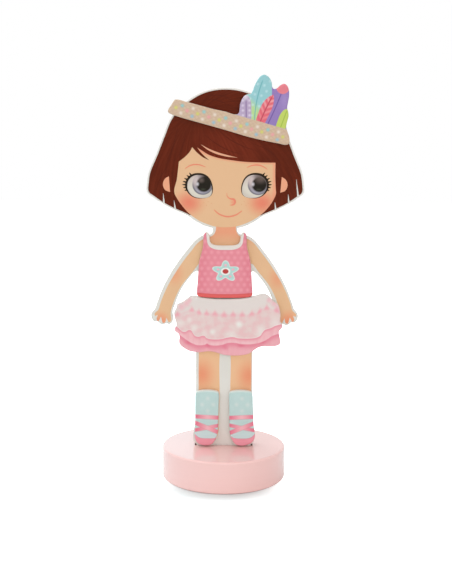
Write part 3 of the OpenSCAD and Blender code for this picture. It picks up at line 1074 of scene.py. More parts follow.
@dataclass
class Doll:
    """Board figure with steel plates let into its front, under a printed sheet."""

    layout: Layout
    board_half_depth: float = 3.0
    easing: float = 0.35
    wall_support: float = 0.2
    easing_places: int = 4
    outline_corner: float = 30.0
    plate_depth: float = 0.55
    pocket_play: float = 0.1
    head_plate: Spot = (0.0, 213.0)
    head_plate_radius: float = 40.0
    strip_plates: tuple[Triple, ...] = ((13.0, 78.0, 147.0), (16.5, 6.0, 66.0))
    strip_corner: float = 3.0
    strip_corner_places: int = 9
    film: float = 0.035
    print_shift: float = 0.62
    hair_border: float = 1.2
    hair_lowest: float = 169.6
    painted_light_below: float = 48.0
    parting: Spot = (-20.0, 242.0)
    strand_bend: float = 0.007
    ear_shifts: Spot = (0.4, -0.65)
    brow_shifts: tuple[Spot, Spot] = ((0.5, 0.0), (0.5, 0.1))
    freckle_radius: float = 0.28
    vest_top: float = 141.5
    waist: float = 92.0
    shorts_low: float = 80.5
    shorts_slope: float = 0.25
    shorts_half_width: float = 24.0
    vest_half_width: float = 14.2
    hem_half_width: float = 18.5
    hem_half_height: float = 0.5
    neck_low: float = 152.5
    leg_top: float = 84.0
    fringe_rim: float = 0.9
    temple: Spot = (33.6, 37.0)
    ear_start: float = 36.8
    fibre_grains: Triple = (0.8, 3.0, 0.03)
    fine_strands: Triple = (26.0, 0.045, 3.0)
    broad_strands: Triple = (7.0, 0.02, 3.0)
    fibres_above: float = 0.56
    deep_below: float = 0.44
    light_above: float = 0.58
    shade_below: float = 0.42
    board_paint: Colour = (236, 226, 221)
    fibre_paint: Colour = (214, 206, 190)
    steel: Colour = (184, 186, 190)
    white: Colour = (222, 219, 212)
    # painted light: a paler sheet low down, to offset the shade between the boots
    painted_light_white: Colour = (228, 226, 220)
    slit_white: Colour = (222, 220, 214)
    linen: Colour = (232, 228, 222)
    linen_hem: Colour = (214, 196, 194)
    skin: Colour = (228, 185, 145)
    neck_skin: Colour = (232, 160, 126)
    # painted light: paler, warmer skin for the legs below the skirt
    painted_light_leg_skin: Colour = (236, 189, 148)
    fringe_skin: Colour = (233, 152, 120)
    temple_skin: Colour = (236, 158, 126)
    ear_skin: Colour = (234, 164, 130)
    gap_skin: Colour = (228, 168, 136)
    freckle_ink: Colour = (221, 160, 122)
    line_ink: Colour = (231, 138, 112)
    lash_ink: Colour = (42, 35, 27)
    hair: Colour = (95, 30, 8)
    hair_deep: Colour = (76, 22, 6)
    hair_light: Colour = (122, 46, 26)
    hair_shade: Colour = (78, 24, 8)
    strand_ink: Colour = (84, 26, 10)
    hair_gloss: Glow = Glow((116, 40, 20), (4.0, 219.0), 36.0, (1.1, 0.7), 0.9)
    blushes: tuple[Glow, ...] = (
        Glow((230, 128, 104), (-26.0, 178.4), 13.4, (1.1, 0.95), 0.9),
        Glow((230, 128, 104), (26.2, 178.6), 13.4, (1.1, 0.95), 0.94),
        Glow((236, 146, 118), (5.3, 179.2), 2.6, strength=0.7),
    )
    flush: Colour = (234, 144, 110)
    flush_stretch: Spot = (0.85, 1.1)
    flushes: tuple[tuple[Spot, float, float], ...] = (
        ((-36.5, 128.0), 11.0, 0.55), ((38.0, 124.5), 11.0, 0.55),
        ((-46.0, 92.0), 9.5, 0.95), ((46.4, 92.0), 11.0, 1.0),
        ((-16.4, 53.4), 15.0, 0.82), ((18.2, 52.4), 15.0, 0.83),
    )
    eyes: tuple[Eye, Eye] = (
        Eye(Side.LEFT, (-18.7, 190.6), (-16.1, 191.6), (-15.3, 191.5), 1.0, (-17.2, 194.6), (3.4, 3.0)),
        Eye(Side.RIGHT, (21.0, 190.95), (23.2, 191.7), (24.1, 191.6), 0.2, (24.8, 196.0), (7.0, 5.4)),
    )
    face_points: Line = (
        (0.6, 161.2), (8.5, 162.0), (14.0, 163.8), (20.0, 166.6), (26.0, 170.8), (31.0, 176.0),
        (34.5, 181.5), (36.0, 185.5), (35.7, 189.0), (35.3, 199.0), (35.3, 207.2), (24.0, 207.3),
        (12.0, 207.8), (4.0, 208.8), (-4.0, 210.0), (-12.0, 212.5), (-18.5, 216.5), (-23.0, 219.2),
        (-25.0, 215.0), (-28.0, 211.5), (-33.0, 207.5), (-33.5, 203.0), (-34.5, 195.0), (-36.3, 186.0),
        (-34.0, 181.0), (-30.0, 175.5), (-26.0, 171.1), (-18.8, 165.9), (-12.8, 163.4), (-7.3, 161.7),
    )
    fringe_edge: Line = ((-23.0, 219.2), (-12.0, 212.5), (4.0, 208.8), (18.0, 207.5), (36.0, 207.2))
    ear_points: Line = ((38.6, 186.0), (42.2, 187.6), (43.7, 191.4), (42.4, 195.2), (39.5, 197.2))
    body_points: Line = (
        (0.0, 164.0), (7.2, 163.0), (7.3, 159.0), (8.9, 155.8), (12.2, 153.9), (15.8, 152.8),
        (20.0, 150.0), (24.6, 144.3), (30.4, 136.8), (36.0, 128.4), (40.8, 120.3), (44.2, 113.2),
        (46.9, 106.3), (48.6, 101.0), (51.2, 98.2), (50.9, 96.5), (49.0, 97.4), (49.6, 93.4), (48.3, 92.8),
        (46.6, 96.2), (45.4, 91.5), (43.9, 91.7), (42.8, 95.4), (41.1, 92.0), (39.7, 92.4), (39.6, 99.3),
        (38.1, 104.8), (35.4, 111.9), (31.6, 119.0), (26.5, 125.7), (23.3, 129.5), (20.7, 133.1),
        (18.9, 135.0), (16.6, 134.4), (15.8, 128.0), (15.6, 118.0), (16.6, 108.0), (17.8, 100.0),
        (18.5, 90.0), (19.1, 74.0), (19.2, 40.0), (19.2, 14.0), (18.0, 6.0), (13.0, 2.6), (7.4, 4.0),
        (5.0, 8.0), (4.4, 16.0), (3.9, 40.0), (3.8, 70.0), (2.8, 76.0), (0.0, 78.0),
    )
    wisp_points: Line = ((-24.0, 220.6), (-19.6, 214.9), (-15.6, 211.2), (-11.8, 208.8))
    wisp_half_widths: Widths = (1.6, 1.1, 0.7, 0.05)
    crescent_points: Line = ((-17.4, 219.6), (-12.5, 216.4), (-6.5, 213.8), (0.5, 211.9), (8.2, 210.6))
    crescent_half_widths: Widths = (0.05, 0.55, 0.75, 0.6, 0.05)
    brow_points: Line = (
        (14.6, 203.7), (17.9, 205.0), (21.2, 205.5), (24.3, 205.1), (26.9, 204.0), (29.2, 202.4)
    )
    brow_half_widths: Widths = (0.2, 0.38, 0.46, 0.45, 0.37, 0.2)
    nose_points: Line = (
        (1.0, 185.8), (1.4, 183.2), (3.4, 181.6), (6.1, 181.0), (6.9, 179.3), (5.8, 177.4), (3.2, 177.0)
    )
    nose_half_widths: Widths = (0.1, 0.3, 0.5, 0.75, 0.8, 0.55, 0.2)
    mouth_points: Line = ((-8.0, 173.6), (-4.0, 170.4), (1.9, 168.8), (7.9, 170.2), (11.9, 173.0))
    mouth_half_widths: Widths = (0.3, 0.5, 0.55, 0.5, 0.3)
    slit_half_widths: Widths = (0.62, 0.36, 0.08)
    slits: tuple[tuple[Spot, Spot], ...] = (
        ((-43.7, 178.3), (-44.1, 185.0)),
        ((-35.6, 173.9), (-36.5, 180.0)),
        ((51.7, 183.4), (50.2, 195.6)),
        ((45.2, 179.1), (44.6, 184.8)),
        ((35.9, 174.1), (35.3, 179.2)),
    )
    strand_half_widths: Widths = (0.04, 0.2, 0.26, 0.18, 0.04)
    strands: tuple[Line, ...] = (
        ((-6.5, 231.0), (1.4, 224.2), (11.7, 218.8), (24.0, 214.6)),
        ((-16.0, 227.5), (-9.0, 221.8), (1.4, 215.9), (12.0, 212.8)),
        ((-33.1, 235.0), (-35.7, 223.3), (-39.1, 211.3), (-41.6, 200.0)),
        ((-43.4, 224.2), (-46.9, 211.2), (-50.4, 197.0)),
        ((-28.0, 229.0), (-29.5, 221.0), (-32.6, 213.0), (-37.0, 206.6)),
        ((37.6, 216.6), (44.7, 206.8), (50.1, 194.5)),
        ((18.0, 221.0), (30.8, 215.3), (37.6, 208.2), (40.6, 200.0)),
        ((-24.0, 248.6), (-9.1, 250.9), (4.6, 246.0)),
        ((-14.6, 253.4), (-2.3, 253.4), (9.5, 247.0)),
        ((-40.5, 206.0), (-46.0, 196.0), (-49.5, 187.0)),
        ((41.5, 206.0), (46.6, 197.0), (49.6, 188.5)),
    )
    freckles: Line = (
        (-15.4, 178.6), (-12.2, 179.6), (-13.4, 176.8), (-9.8, 178.2), (-17.6, 176.4),
        (13.4, 179.8), (16.4, 178.4), (14.8, 176.8), (18.6, 176.6), (11.6, 177.6),
    )

    def build(self) -> None:
        """Builds the board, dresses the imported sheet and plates, and lays the print on the sheet."""
        self.add_board()
        sheet = Canvas("white_sheet", self.layout, self.white)
        # painted light: the sheet is painted paler low down, to offset the shade between the boots
        sheet.paint(self.painted_light_white, sheet.z.below(self.painted_light_below, soft=8.0))
        dress_node("doll_front_sheet", sheet, SHEET_PRINT)
        for node in ("head_steel_plate", "torso_steel_plate", "leg_steel_plate"):
            dress_node(node, Canvas(node, self.layout, self.steel), BRUSHED_STEEL)
        self.add_hair()
        self.add_skin()
        self.add_features()
        self.add_eyes()

    def outline(self) -> np.ndarray:
        """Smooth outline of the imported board."""
        return board_outline("doll_board", -1, self.layout, self.outline_corner)

    def add_board(self) -> None:
        """Builds the white board with eased edges and pockets for the steel plates."""
        ring = inset(self.outline(), CAD_MARGIN)
        back = self.board_half_depth
        turn = np.linspace(0.0, math.pi / 2, self.easing_places)
        lean = self.easing * (1 - np.sin(turn))
        drop = self.easing * (1 - np.cos(turn))
        wall = back - self.easing - self.wall_support
        sections = [*zip(lean, back - drop), (0.0, wall), (0.0, -wall), *zip(lean[::-1], -back + drop[::-1])]
        disc = arc(self.head_plate, (self.head_plate_radius + self.pocket_play,) * 2, count=120)
        pockets = [disc, *(self.strip_pocket(*plate) for plate in self.strip_plates)]
        shell = Shell.board(ring, sections, pockets, -back + self.plate_depth, Opening.FRONT)
        canvas = Canvas("white_edge_paint", self.layout, self.board_paint)
        fibre = canvas.noise(self.fibre_grains, detail=4.0)
        canvas.paint(self.fibre_paint, fibre.above(self.fibres_above, soft=0.12), strength=0.35)
        piece = shell.piece("white_board", self.layout, "doll", "white_board", EDGE_PAINT.dress(canvas))
        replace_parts(piece, "doll_board")

    def strip_pocket(self, half_width: float, low: float, high: float) -> np.ndarray:
        """Outline of a strip's pocket, with round corners.

        Args:
            half_width: half the strip's width.
            low: height of the strip's lower end.
            high: height of the strip's upper end.

        Returns:
            The outline, counter-clockwise.
        """
        r = self.strip_corner
        grown = (r + self.pocket_play,) * 2
        x = half_width - r
        middles = ((x, high - r), (-x, high - r), (-x, low + r), (x, low + r))
        corners = [
            arc(middle, grown, 90.0 * k, 90.0 * (k + 1), self.strip_corner_places)
            for k, middle in enumerate(middles)
        ]
        return np.vstack(corners)

    def layer_back(self, layer: Layer) -> float:
        """Depth of the back of a layer of ink."""
        return self.layout.sheet_front - (layer - 1) * self.film

    def films(self, name: str, layer: Layer, outlines: Sequence[np.ndarray], canvas: Canvas) -> None:
        """Lays ink films on the sheet.

        Args:
            name: the piece's name.
            layer: which layer of ink it is.
            outlines: one closed outline for each film.
            canvas: the films' paint.
        """
        back = self.layer_back(layer)
        shells = [Shell.slab(outline, back, back - self.film) for outline in outlines]
        material = SHEET_PRINT.dress(canvas)
        Shell.joined(shells).piece(name, self.layout, "doll", "printed_sheet", material)

    def plain_films(self, name: str, layer: Layer, outlines: Sequence[np.ndarray], ink: Colour) -> None:
        """Lays ink films of one colour on the sheet, as films does."""
        self.films(name, layer, outlines, Canvas(name, self.layout, ink))

    def mirrored(self, points: np.ndarray) -> np.ndarray:
        """Points on the other side of the print's middle, in reverse order."""
        return points[::-1] * (-1.0, 1.0)

    def add_hair(self) -> None:
        """Lays the hair: the head's outline less a white border, with drawn strands and slits."""
        inner = inset(self.outline(), self.hair_border)
        head = inner[:, 1] > self.hair_lowest
        first = np.argmax(head & ~np.roll(head, 1))
        head_run = np.roll(inner, -first, 0)[: head.sum()]
        self.films("hair_print", Layer.BODY, [head_run], self.hair_canvas())
        strands = [stroke(path, self.strand_half_widths) for path in self.strands]
        self.plain_films("hair_strands", Layer.FACE, strands, self.strand_ink)
        slits = [stroke(ends, self.slit_half_widths) for ends in self.slits]
        self.plain_films("hair_slits", Layer.FACE, slits, self.slit_white)
        lock = stroke(self.wisp_points, self.wisp_half_widths)
        self.plain_films("hair_lock", Layer.FEATURE, [lock], self.hair)

    def hair_canvas(self) -> Canvas:
        """Red-brown hair with strands that fan out from the parting and bend downwards.

        A strand keeps the sum of its angle from straight down and a share of its distance.
        """
        canvas = Canvas("hair_ink", self.layout, self.hair)
        across = abs(canvas.x - self.parting[0])
        down = (canvas.z - self.parting[1]) * -1.0
        reach = across.hypot(down)
        strand = across.math("ARCTAN2", down) + reach * self.strand_bend
        combed = canvas.vector(strand, reach, canvas.x.above(self.parting[0]))
        fine = canvas.noise(self.fine_strands, detail=3.0, place=combed)
        broad = canvas.noise(self.broad_strands, detail=2.0, place=combed)
        self.hair_gloss.lay(canvas)
        canvas.paint(self.hair_deep, fine.below(self.deep_below, soft=0.12), strength=0.42)
        canvas.paint(self.hair_light, fine.above(self.light_above, soft=0.12), strength=0.32)
        canvas.paint(self.hair_shade, broad.below(self.shade_below, soft=0.12), strength=0.4)
        return canvas

    def add_skin(self) -> None:
        """Lays neck, arms, legs, face and ears."""
        half = smooth_curve(self.body_points, steps=6, corner=75.0)
        body = np.vstack([half[::-1], (half * (-1.0, 1.0))[1:-1]]) + (self.print_shift, 0.0)
        self.films("body_print", Layer.BODY, [body], self.body_canvas())
        ear = smooth_curve(self.ear_points)
        right, left = self.ear_shifts
        ears = [ear + (right, 0.0), self.mirrored(ear) + (left, 0.0)]
        face = smooth_curve(self.face_points, closed=True, corner=38.0)
        self.films("face_print", Layer.FACE, [face, *ears], self.face_canvas())

    def body_canvas(self) -> Canvas:
        """Skin of neck, arms and legs, with a plain white vest and shorts under the clothes."""
        canvas = Canvas("body_ink", self.layout, self.skin)
        canvas.paint(self.neck_skin, canvas.z.above(self.neck_low, soft=5.0))
        # painted light: the legs are painted paler and warmer, to offset the skirt's shadow on them
        canvas.paint(self.painted_light_leg_skin, canvas.z.below(self.leg_top, soft=4.0))
        for spot, radius, strength in self.flushes:
            Glow(self.flush, spot, radius, self.flush_stretch, strength).lay(canvas)
        across = abs(canvas.x - self.print_shift)
        above_waist = canvas.z.above(self.waist)
        vest = across.below(self.vest_half_width) * canvas.z.below(self.vest_top) * above_waist
        leg_edge = across * -self.shorts_slope + self.shorts_low
        below_waist = canvas.z.below(self.waist)
        shorts = across.below(self.shorts_half_width) * below_waist * canvas.z.above(leg_edge)
        hem = abs(canvas.z - self.waist).below(self.hem_half_height) * across.below(self.hem_half_width)
        canvas.paint(self.linen, vest.math("MAXIMUM", shorts))
        canvas.paint(self.linen_hem, hem)
        return canvas

    def face_canvas(self) -> Canvas:
        """Skin of the face with blushed cheeks and nose and a warm rim under the fringe."""
        canvas = Canvas("face_ink", self.layout, self.skin)
        under = canvas.z - canvas.curve(canvas.x, self.fringe_edge)
        fringe = under.above(-self.fringe_rim, soft=0.8) * canvas.x.above(self.fringe_edge[0][0])
        near, far = self.temple
        temple = canvas.x.above(near, soft=0.8) * canvas.x.below(far)
        canvas.paint(self.fringe_skin, fringe, strength=0.8)
        canvas.paint(self.temple_skin, temple, strength=0.8)
        canvas.paint(self.ear_skin, abs(canvas.x).above(self.ear_start, soft=0.4))
        for blush in self.blushes:
            blush.lay(canvas)
        return canvas

    def add_features(self) -> None:
        """Lays brows, nose, mouth, freckles and the gap in the fringe."""
        brow = np.asarray(self.brow_points)
        right, left = self.brow_shifts
        sides = (brow + right, brow * (-1.0, 1.0) + left)
        brows = [stroke(path, self.brow_half_widths) for path in sides]
        nose = stroke(self.nose_points, self.nose_half_widths)
        mouth = stroke(self.mouth_points, self.mouth_half_widths)
        self.plain_films("coral_lines", Layer.FEATURE, [*brows, nose, mouth], self.line_ink)
        dots = [arc(spot, (self.freckle_radius,) * 2, count=12) for spot in self.freckles]
        self.plain_films("freckles", Layer.FEATURE, dots, self.freckle_ink)
        gap = stroke(self.crescent_points, self.crescent_half_widths)
        self.plain_films("fringe_gap", Layer.FACE, [gap], self.gap_skin)

    def add_eyes(self) -> None:
        """Lays the eyes with their rims and lashes."""
        for eye in self.eyes:
            name = f"{eye.side.name.lower()}_eye"
            self.films(name, Layer.FEATURE, [eye.white()], eye.painted(name, self.layout))
        back = self.layer_back(Layer.LINE)
        front = back - self.film
        rims = [Shell.hoop(*eye.crescent(), back, front) for eye in self.eyes]
        lashes = [Shell.slab(lash, back, front) for eye in self.eyes for lash in eye.lash_strokes()]
        ink = SHEET_PRINT.dress(Canvas("lash_ink", self.layout, self.lash_ink))
        Shell.joined([*rims, *lashes]).piece("eye_rims", self.layout, "doll", "printed_sheet", ink)


@dataclass
class Garment:
    """A board cut to a garment's outline: printed front, rounded edge, magnets under a sheet on its back."""

    layout: Layout
    body: str
    slot: str
    magnets: Line
    ground: Colour = (230, 224, 216)
    side_paint: Colour = (232, 229, 223)
    nickel: Colour = (190, 186, 180)
    felt: Colour = (241, 223, 210)
    edge_radius: float = 1.0
    side_start: float = 0.75
    side_soft: float = 0.2
    edge_steps: int = 8
    outline_corner: float = 60.0
    bevel: float = 0.3
    pocket_radius: float = 3.1
    pocket_depth: float = 2.1

    def build(self) -> bpy.types.Object:
        """Builds the board, and dresses its packed magnets and back sheet.

        Returns:
            The board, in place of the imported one.
        """
        node = f"{self.body}_board"
        ring = inset(board_outline(node, -2, self.layout, self.outline_corner), CAD_MARGIN)
        low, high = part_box(node)
        back, front = high.y / MM, low.y / MM
        quarter = np.linspace(0.0, math.pi / 2, self.edge_steps + 1)
        far = self.edge_radius * (1 - np.cos(quarter))
        depth = front + self.edge_radius * (1 - np.sin(quarter))
        wall = ((0.0, back - self.bevel), (0.0, depth[0] + self.bevel))
        sections = [(self.bevel, back), *wall, *zip(far, depth)]
        pockets = [arc(spot, (self.pocket_radius,) * 2, count=48) for spot in self.magnets]
        shell = Shell.board(ring, sections, pockets, back - self.pocket_depth, Opening.BACK)
        canvas = Canvas(f"{self.body}_print", self.layout, self.ground)
        self.draw(canvas)
        edge = front + self.side_start * self.edge_radius
        canvas.paint(self.side_paint, canvas.y.above(edge, soft=self.side_soft * self.edge_radius))
        piece = shell.piece(
            f"{self.body}_printed_board", self.layout, self.body, self.slot, GARMENT_PRINT.dress(canvas)
        )
        nickel = Canvas(f"{self.body}_nickel", self.layout, self.nickel)
        felt = Canvas(f"{self.body}_felt", self.layout, self.felt)
        dress_node(f"{self.body}_magnets", nickel, NICKEL)
        dress_node(f"{self.body}_back_sheet", felt, FELT)
        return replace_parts(piece, node)

    def draw(self, canvas: Canvas) -> None:
        """Prints the garment; each garment has its own."""
        raise NotImplementedError


@dataclass(frozen=True)
class Feather:
    """One drawn feather: its rib's ends and bow, half its width, its inks and what is drawn on it.

    Each row of dots is its distance from the rib, its pitch and where along the rib it starts. A stripe
    pitch of nothing leaves the feather without stripes.
    """

    root: Spot
    tip: Spot
    bow: float
    half_width: float
    colour: Colour
    rib_colour: Colour
    mark_colour: Colour = (255, 255, 255)
    widest: float = 0.55
    root_share: float = 0.8
    tip_power: float = 0.5
    barb_slant: float = 0.9
    barb_pitch: float = 0.8
    stripe_pitch: float = 0.0
    dot_rows: tuple[Triple, ...] = ()
    dot_radius: float = 0.75
    stripe_half_width: float = 0.9
    stripe_inner_end: float = 0.5
    stripes_from: float = 0.4
    barb_half_width: float = 0.12
    rib_half_width: float = 0.32
    rib_span: Spot = (-0.2, 0.92)

    def draw(self, canvas: Canvas, within: Field, own_shape: bool) -> None:
        """Paints the feather.

        The rib bows as a parabola over its length. The half width is full at its widest place, rounds
        off towards the tip as a power of an ellipse's square and narrows as a square towards the root.

        Args:
            canvas: the headband's canvas.
            within: mask of the ground that the feather may cover.
            own_shape: whether the feather's own outline cuts it off inside that ground.
        """
        dx, dz = self.tip[0] - self.root[0], self.tip[1] - self.root[1]
        length = math.hypot(dx, dz)
        along, across = canvas.turned(self.root, math.atan2(dz, dx))
        share = along * (1 / length)
        aside = across + (share * share - share) * (4 * self.bow)
        beside = abs(aside)
        mask = within
        if own_shape:
            above = (share - self.widest) * (1 / (1 - self.widest))
            tip = above.math("MAXIMUM", 0.0)
            root = ((share - self.widest) * (-1 / self.widest)).math("MAXIMUM", 0.0)
            round_off = (tip * tip).flipped().math("MAXIMUM", 0.0).math("POWER", self.tip_power)
            half = (round_off - root * root * (1 - self.root_share)) * self.half_width
            mask = within * beside.below(half)
            canvas.paint(self.colour, mask)
        slanted = along - beside * self.barb_slant
        barbs = abs(slanted.wrapped(self.barb_pitch)).below(self.barb_half_width, soft=0.1)
        canvas.paint(self.rib_colour, mask * barbs, strength=0.22)
        for distance, pitch, start in self.dot_rows:
            dots = (along - start).wrapped(pitch).hypot(beside - distance).below(self.dot_radius, soft=0.6)
            canvas.paint(self.mark_colour, mask * dots, strength=0.7)
        if self.stripe_pitch:
            bars = abs(slanted.wrapped(self.stripe_pitch)).below(self.stripe_half_width, soft=0.85)
            beside_rib = beside.above(self.stripe_inner_end, soft=0.3)
            stripes = bars * beside_rib * share.above(self.stripes_from, soft=0.5)
            canvas.paint(self.mark_colour, mask * stripes, strength=0.65)
        rib_start, rib_end = self.rib_span
        rib = share.below(rib_end, soft=0.03) * share.above(rib_start)
        canvas.paint(self.rib_colour, mask * rib * beside.below(self.rib_half_width, soft=0.2), strength=0.85)


@dataclass
class Headband(Garment):
    """Beige band with rows of coloured beads and a bunch of five feathers."""

    bead_origin: Spot = (10.5, 232.5)
    band_angle: float = -15.5
    band_top: float = 6.7
    bead_period: float = 15.16
    bead_radius: float = 1.1
    row_rise: float = 0.001
    left_stretch: float = 0.033
    bead_ends: Spot = (-47.2, 32.4)
    beads: tuple[tuple[Colour, float, float], ...] = (
        ((210, 212, 98), 0.0, 0.0),
        ((118, 202, 208), 3.8, 2.5),
        ((231, 219, 208), 4.1, -2.7),
        ((235, 154, 164), 7.8, 0.0),
        ((231, 219, 208), 11.3, 2.7),
        ((130, 188, 210), 12.0, -2.7),
    )
    teal: Feather = Feather(
        (20.0, 235.5), (26.3, 266.2), 1.5, 7.0, (153, 202, 207), (94, 170, 176), (196, 226, 230),
        dot_rows=((2.3, 7.3, 4.0), (5.0, 7.3, 0.4)),
    )
    purple: Feather = Feather((28.8, 233.0), (39.9, 259.0), -0.4, 7.0, (150, 126, 186), (100, 76, 148))
    red: Feather = Feather(
        (23.3, 233.6), (32.9, 254.2), 0.5, 3.8, (228, 104, 118), (178, 66, 82), (244, 196, 196),
        tip_power=0.8, stripe_pitch=4.3,
    )
    lavender: Feather = Feather(
        (14.3, 235.0), (13.9, 253.8), 0.0, 3.65, (186, 166, 195), (120, 92, 146), (228, 218, 232),
        0.6, 0.95, dot_rows=((2.3, 3.4, 1.6),),
    )
    lime: Feather = Feather(
        (37.8, 230.5), (42.9, 244.4), 0.0, 3.6, (196, 211, 103), (152, 182, 70), widest=0.5, root_share=0.95
    )
    teal_foot: Colour = (186, 216, 146)
    coral: Colour = (227, 127, 138)
    coral_tip: Spot = (39.5, 259.4)
    coral_radius: float = 4.6
    foot_slope: float = 0.9
    foot_edge: float = 265.5
    lavender_edge: float = 12.0
    purple_slope: float = 0.406
    purple_offset: float = 70.4
    purple_edge: float = 31.9
    weave_grains: Triple = (0.5, 0.5, 0.5)
    purple_light: Glow = Glow((176, 152, 206), (41.0, 250.0), 9.0, (0.6, 1.2), 0.5)
    lavender_light: Glow = Glow((232, 224, 230), (13.6, 252.6), 3.6, (0.8, 1.0), 0.8)
    band_light: Colour = (222, 200, 178)
    net_ink: Colour = (196, 156, 142)
    net_slope: float = 1.45
    net_cells: int = 4
    net_half_width: float = 0.35

    def draw(self, canvas: Canvas) -> None:
        """Prints feathers, band and beads."""
        along, across = canvas.turned(self.bead_origin, math.radians(self.band_angle))
        plume = across.above(self.band_top)
        self.draw_feathers(canvas, plume)
        self.draw_band(canvas, plume.flipped(), along, across)

    def draw_feathers(self, canvas: Canvas, plume: Field) -> None:
        """Prints the feathers from the hindmost to the foremost.

        Args:
            canvas: the headband's canvas.
            plume: mask of the ground above the band.
        """
        canvas.paint(self.teal.colour, plume)
        foot = (canvas.z + canvas.x * self.foot_slope).below(self.foot_edge, soft=4.5).eased()
        canvas.paint(self.teal_foot, plume * foot)
        self.teal.draw(canvas, plume, own_shape=False)
        canvas.paint(self.lavender.colour, plume * canvas.x.below(self.lavender_edge, soft=0.5))
        slanted = canvas.z * self.purple_slope - self.purple_offset
        right = plume * (canvas.x - slanted.math("MINIMUM", self.purple_edge)).above(0.0)
        coral = canvas.disc(self.coral_tip, self.coral_radius)
        canvas.paint(self.purple.colour, right)
        self.purple_light.lay(canvas, right)
        canvas.paint(self.coral, right * coral)
        self.purple.draw(canvas, right * coral.flipped(), own_shape=False)
        for feather in (self.red, self.lavender, self.lime):
            feather.draw(canvas, plume, own_shape=True)
        self.lavender_light.lay(canvas, plume)

    def draw_band(self, canvas: Canvas, band: Field, along: Field, across: Field) -> None:
        """Prints the band's net and beads, whose row bends up as a square towards its right end.

        Args:
            canvas: the headband's canvas.
            band: mask of the band.
            along: place along the band.
            across: place across it.
        """
        right_end = along.math("MAXIMUM", 0.0)
        row = across - right_end * right_end * self.row_rise
        along = along - along.math("MINIMUM", 0.0) * self.left_stretch
        weave = canvas.noise(self.weave_grains).above(0.5, soft=0.2)
        canvas.paint(self.band_light, band * weave, strength=0.35)
        cell = self.bead_period / self.net_cells
        slant = row * self.net_slope
        rising = abs((along + slant - cell / 2).wrapped(cell))
        falling = abs((along - slant - cell / 2).wrapped(cell))
        net = rising.math("MINIMUM", falling).below(self.net_half_width, soft=0.45)
        canvas.paint(self.net_ink, band * net, strength=0.5)
        beaded = band * along.above(self.bead_ends[0]) * along.below(self.bead_ends[1])
        for colour, u, v in self.beads:
            spot = (along - u).wrapped(self.bead_period).hypot(row - v)
            canvas.paint(colour, beaded * spot.below(self.bead_radius, soft=0.7), strength=0.78)


@dataclass
class Vest(Garment):
    """Pink sleeveless vest with soft dots, a pale neck trim, a red hem and a flower."""

    dot_pitch: Spot = (4.7, 7.74)
    dot_origin: Spot = (2.3, 116.6)
    dot_radius: float = 1.1
    flower_at: Spot = (0.5, 130.0)
    petals: int = 5
    petal_radius: float = 6.3
    petal_wave: float = 1.7
    flower_stretch: Spot = (1.25, 1.0)
    trim_edge: Line = ((145.2, 0.0), (145.5, 5.0), (146.6, 9.4), (149.0, 12.2), (153.0, 13.2), (158.5, 13.6))
    trim_low: float = 145.0
    trim_line_width: float = 0.25
    trim_rise: float = 0.4
    shaded_from: float = 13.5
    petal_line: float = 0.7
    spot_span: Spot = (3.6, 5.2)
    spot_share: float = 0.72
    ring_radius: float = 2.7
    eye_radius: float = 1.7
    hem_top: float = 113.6
    hem_inner: Spot = (111.0, 112.9)
    hem_bow: float = 0.0025
    edge_ink: Colour = (222, 122, 138)
    dot_ink: Colour = (238, 164, 172)
    trim_line: Colour = (196, 104, 124)
    trim_ink: Colour = (225, 217, 209)
    hem_line: Colour = (214, 92, 92)
    hem_ink: Colour = (224, 97, 94)
    petal_edge: Colour = (214, 226, 220)
    petal_ink: Colour = (176, 212, 207)
    petal_spot: Colour = (240, 176, 188)
    flower_ring: Colour = (238, 234, 228)
    flower_eye: Colour = (184, 64, 60)

    def draw(self, canvas: Canvas) -> None:
        """Prints dots, flower, trim and hem."""
        beside = abs(canvas.x)
        canvas.paint(self.edge_ink, beside.above(self.shaded_from, soft=3.5).eased(), strength=0.5)
        for row in (0.0, 0.5):
            dx = (canvas.x - self.dot_origin[0] - row * self.dot_pitch[0]).wrapped(self.dot_pitch[0])
            dz = (canvas.z - self.dot_origin[1] - row * self.dot_pitch[1]).wrapped(self.dot_pitch[1])
            canvas.paint(self.dot_ink, dx.hypot(dz).below(self.dot_radius, soft=0.8), strength=0.6)
        self.draw_flower(canvas)
        trim = canvas.curve(canvas.z, self.trim_edge) - beside
        canvas.paint(self.trim_line, trim.above(0.0) * canvas.z.above(self.trim_low), strength=0.5)
        trim_inside = canvas.z.above(self.trim_low + self.trim_rise)
        canvas.paint(self.trim_ink, trim.above(self.trim_line_width) * trim_inside)
        rise = canvas.z - canvas.x * canvas.x * self.hem_bow
        low, high = self.hem_inner
        canvas.paint(self.hem_line, rise.below(self.hem_top, soft=0.3))
        canvas.paint(self.hem_ink, rise.below(high, soft=0.3) * rise.above(low, soft=0.5))

    def draw_flower(self, canvas: Canvas) -> None:
        """Prints a flower whose edge swings in and out with the cosine of its petals' angle."""
        across = (canvas.x - self.flower_at[0]) * (1 / self.flower_stretch[0])
        up = (canvas.z - self.flower_at[1]) * (1 / self.flower_stretch[1])
        away = across.hypot(up)
        wave = (up.math("ARCTAN2", across) * self.petals - math.pi / 2).math("COSINE")
        edge = wave * self.petal_wave + self.petal_radius
        petal = (away - edge).below(0.0)
        near, far = self.spot_span
        band = away.above(near, soft=0.3) * away.below(far, soft=0.3)
        canvas.paint(self.petal_edge, petal)
        canvas.paint(self.petal_ink, petal * (away - edge).below(-self.petal_line, soft=0.3))
        canvas.paint(self.petal_spot, band * wave.above(self.spot_share, soft=0.12))
        canvas.paint(self.flower_ring, away.below(self.ring_radius))
        canvas.paint(self.flower_eye, away.below(self.eye_radius))


